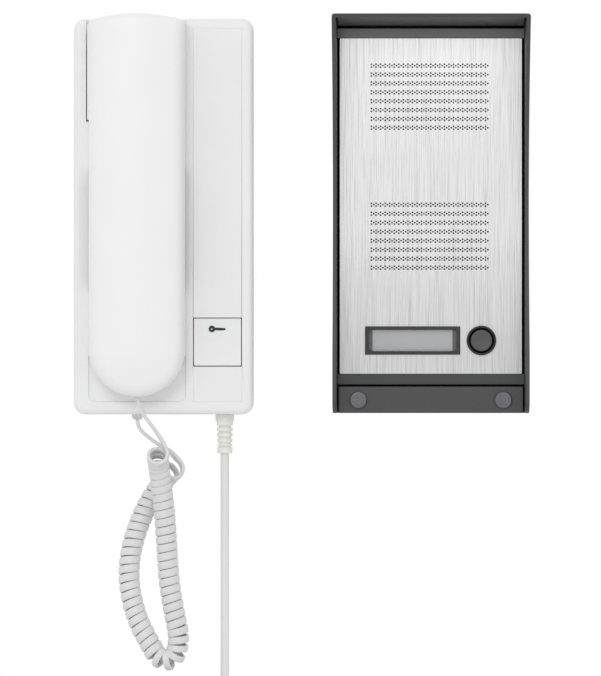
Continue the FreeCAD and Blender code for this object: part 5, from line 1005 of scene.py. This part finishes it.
# The grilles: the height of each one's top band and its bands' pitch; a band is three staggered rows of holes
GRILLE_X = 133.0
GRILLES = ((75.4, 4.43), (5.9, 4.5))
BANDS = 8
ROW_PITCH = 0.72
HOLES_PER_ROW = 26
HOLE_PITCH = 2.28
HOLE_RADIUS = 0.45
HOLE_SIDES = 10

# The openings of the name window and the call button
WINDOW_X = (101.6, 147.4)
WINDOW_Z = (-68.2, -55.8)
CALL = (158.9, -62.0)
CALL_OPENING_RADIUS = 6.5
CALL_OPENING_SIDES = 64


def visor_soffit():
    """The underside of the visor, which falls a little towards the back."""
    points = [at(VISOR_X + side * VISOR_HALF, z, depth) for side in (-1, 1) for z, depth in VISOR_SECTION]
    faces = [(0, 1, 2, 3), (7, 6, 5, 4), (0, 4, 5, 1), (1, 5, 6, 2), (2, 6, 7, 3), (3, 7, 4, 0)]
    extra(welded(mesh_piece("visor_soffit", points, faces, smooth=False)), "hood_plastic", "station")


def hole_places():
    """The middle of every sound hole."""
    middle = (HOLES_PER_ROW - 1) / 2
    places = []
    for top, pitch in GRILLES:
        for band in range(BANDS):
            for row in (-1, 0, 1):
                shift = 0.0 if row else HOLE_PITCH / 2
                z = top - band * pitch + row * ROW_PITCH
                places += [(GRILLE_X + (i - middle) * HOLE_PITCH + shift - HOLE_PITCH / 4, z)
                           for i in range(HOLES_PER_ROW)]
    return places


def face_outline():
    """The face plate's outline with small round corners."""
    left, right = FACE_X[0] + FACE_CORNER, FACE_X[1] - FACE_CORNER
    foot, top = FACE_Z[0] + FACE_CORNER, FACE_Z[1] - FACE_CORNER
    outline = []
    for x, z, start in ((right, top, 0), (left, top, 90), (left, foot, 180), (right, foot, 270)):
        for i in range(FACE_CORNER_STEPS + 1):
            turn = math.radians(start + 90 * i / FACE_CORNER_STEPS)
            outline.append((x + FACE_CORNER * math.cos(turn), z + FACE_CORNER * math.sin(turn)))
    return outline


def face_sheet():
    """The brushed sheet with every opening cut through it, and walls at its edges and holes."""
    (x0, x1), (z0, z1) = WINDOW_X, WINDOW_Z
    holes = [[(x0, z0), (x1, z0), (x1, z1), (x0, z1)], circle(*CALL, CALL_OPENING_RADIUS, CALL_OPENING_SIDES)]
    holes += [circle(x, z, HOLE_RADIUS, HOLE_SIDES, 0.5) for x, z in hole_places()]
    places, faces = cut_sheet(face_outline(), holes)
    points = [at(p.x, p.y, FACE_FRONT) for p in places]
    edge_use = {}
    for face in faces:
        for a, b in zip(face, face[1:] + face[:1]):
            edge_use.setdefault((min(a, b), max(a, b)), []).append((a, b))
    rear = {}
    for uses in edge_use.values():
        if len(uses) == 1:
            a, b = uses[0]
            for v in (a, b):
                if v not in rear:
                    rear[v] = len(points)
                    points.append(at(places[v].x, places[v].y, FACE_REAR))
            faces.append((b, a, rear[a], rear[b]))
    obj = mesh_piece("face_sheet", points, faces, smooth=False)
    work = bmesh.new()
    work.from_mesh(obj.data)
    bmesh.ops.recalc_face_normals(work, faces=work.faces)
    work.to_mesh(obj.data)
    work.free()
    stand_in(obj, "station", "face_plate")


# The call button's ring and cap, as (radius, depth) pairs
RING_PROFILE = [
    (5.6, 22.0), (5.6, FACE_FRONT - 2.2), (5.9, FACE_FRONT - 1.6), (6.25, FACE_FRONT - 0.4),
    (6.35, FACE_FRONT + 0.9), (6.5, FACE_FRONT + 1.15), (6.7, FACE_FRONT + 1.2), (7.1, FACE_FRONT + 0.95),
    (7.35, FACE_FRONT + 0.55), (7.4, FACE_FRONT + 0.1), (7.4, FACE_FRONT), (6.4, FACE_FRONT), (6.4, 26.2),
    (5.6, 26.2),
]
CAP_FRONT = FACE_FRONT + 0.8
CAP_SIDE = [(1.5, 16.4), (1.5, 24.6), (6.0, 24.6), (6.0, 26.1), (5.35, 26.1), (5.35, CAP_FRONT - 0.45),
            (5.25, CAP_FRONT - 0.15), (5.0, CAP_FRONT), (4.6, CAP_FRONT + 0.02)]
CAP_DISH_DEPTH = 0.35
CAP_DISH_STEPS = 12


def call_ring():
    """The raised ring around the call button."""
    stand_in(turned("call_button_ring_look", *CALL, RING_PROFILE), "station", "call_button_ring")


def call_cap():
    """The button itself, gently dished, in a tone of its own."""
    rim, edge = CAP_SIDE[-1]
    dish = []
    for i in range(1, CAP_DISH_STEPS + 1):
        share = 1 - i / CAP_DISH_STEPS
        dish.append((rim * share, edge - CAP_DISH_DEPTH * (1 - share ** 2)))
    cap = stand_in(turned("call_button_look", *CALL, CAP_SIDE + dish), "call_key", "call_button")
    cap.data.materials[0] = materials["cap_plastic"]


def pressed(node):
    """A spring or dome in the form of its CAD node, on the station."""
    mesh = nodes[node].data.copy()
    obj = stand_in(link(bpy.data.objects.new(node + "_look", mesh)), "station", node)
    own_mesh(obj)


# Floor, light and background. Lengths here are in metres
STAGE_Z = -0.372
STAGE_HALF = 4
STAGE_COLOUR = (0.86, 0.86, 0.86, 1)
STAGE_ROUGHNESS = 0.9
SURROUND_COLOUR = (1, 1, 1, 1)
SURROUND_LIGHT = 0.85
SURROUND_SEEN = 1.0
LAMP_PLACE = (-0.40, -3.0, 0.85)
LAMP_SIZE = 0.8
LAMP_POWER = 15.0


def stage():
    """A pale floor well below the object."""
    low, high = -STAGE_HALF, STAGE_HALF
    corners = [(low, low, STAGE_Z), (high, low, STAGE_Z), (high, high, STAGE_Z), (low, high, STAGE_Z)]
    floor = mesh_piece("floor", corners, [(0, 1, 2, 3)], smooth=False)
    _, shader = new_material("floor_paint")
    shader.inputs["Base Color"].default_value = STAGE_COLOUR
    shader.inputs["Roughness"].default_value = STAGE_ROUGHNESS
    floor.data.materials.append(materials["floor_paint"])


def background(tree, strength):
    """A white background of a given strength."""
    node = tree.nodes.new("ShaderNodeBackground")
    node.inputs["Color"].default_value = SURROUND_COLOUR
    node.inputs["Strength"].default_value = strength
    return node.outputs["Background"]


def surround():
    """An even light from all sides, while the background itself is seen as white."""
    world = bpy.data.worlds.new("surround")
    bpy.context.scene.world = world
    world.use_nodes = True
    tree = world.node_tree
    path = tree.nodes.new("ShaderNodeLightPath").outputs
    direct = greater(tree, path["Is Camera Ray"], path["Is Transmission Ray"])
    seen = greater(tree, direct, path["Is Glossy Ray"])
    mix = tree.nodes.new("ShaderNodeMixShader")
    tree.links.new(seen, mix.inputs["Fac"])
    tree.links.new(background(tree, SURROUND_LIGHT), mix.inputs[1])
    tree.links.new(background(tree, SURROUND_SEEN), mix.inputs[2])
    tree.links.new(mix.outputs["Shader"], tree.nodes["World Output"].inputs["Surface"])


def lamp():
    """One soft lamp in front of the object, above it and to its left."""
    data = bpy.data.lights.new("key", "AREA")
    data.shape = "DISK"
    data.size = LAMP_SIZE
    data.energy = LAMP_POWER
    obj = link(bpy.data.objects.new("key", data))
    obj.location = LAMP_PLACE
    obj.rotation_mode = "QUATERNION"
    obj.rotation_quaternion = (CAMERA_TARGET - Vector(LAMP_PLACE)).to_track_quat("-Z", "Y")


make_camera()
cords()

# Each dressed piece names its CAD node, its body, the width of its bevel and, where it isn't 50, its angle
handset_front()
dressed("handset_inner_shell", "handset", 0.3)
side_lip()
dressed("handset_cord_grommet", "handset", 0.3)

dressed("indoor_front_cover", "station", 0.1)
dressed("indoor_back_plate", "station", 0.25)
dressed("lead_strain_relief", "station", 0.2)
strip("upper_side_strip_look", "upper_side_strip", UPPER_STRIP_Z)
strip("lower_side_strip_look", "lower_side_strip", LOWER_STRIP_Z)
seam("upper_seam", UPPER_SEAM_Z, UPPER_SEAM_Z[1])
seam("lower_seam", LOWER_SEAM_Z, LOWER_SEAM_Z[0])
dressed("release_button", "release_key", 0.2)
cradle()
key_sign()

dressed("rain_hood", "station", 0.35)
dressed("panel_housing", "station", 0.12)
dressed("lock_bar", "station", 0.3)
visor_soffit()
dressed("lock_bar_screws", "station", 0.25, angle=40.0)
dressed("name_window_frame", "station", 0.15)
face_sheet()
call_ring()
call_cap()

pressed("release_button_spring")
pressed("call_button_dome")

# What is left of the CAD nodes keeps its shape and gets its finish
for name, node in nodes.items():
    node.data.materials.clear()
    node.data.materials.append(materials[slots[name]])

stage()
surround()
lamp()
bpy.context.scene.view_settings.view_transform = "Standard"
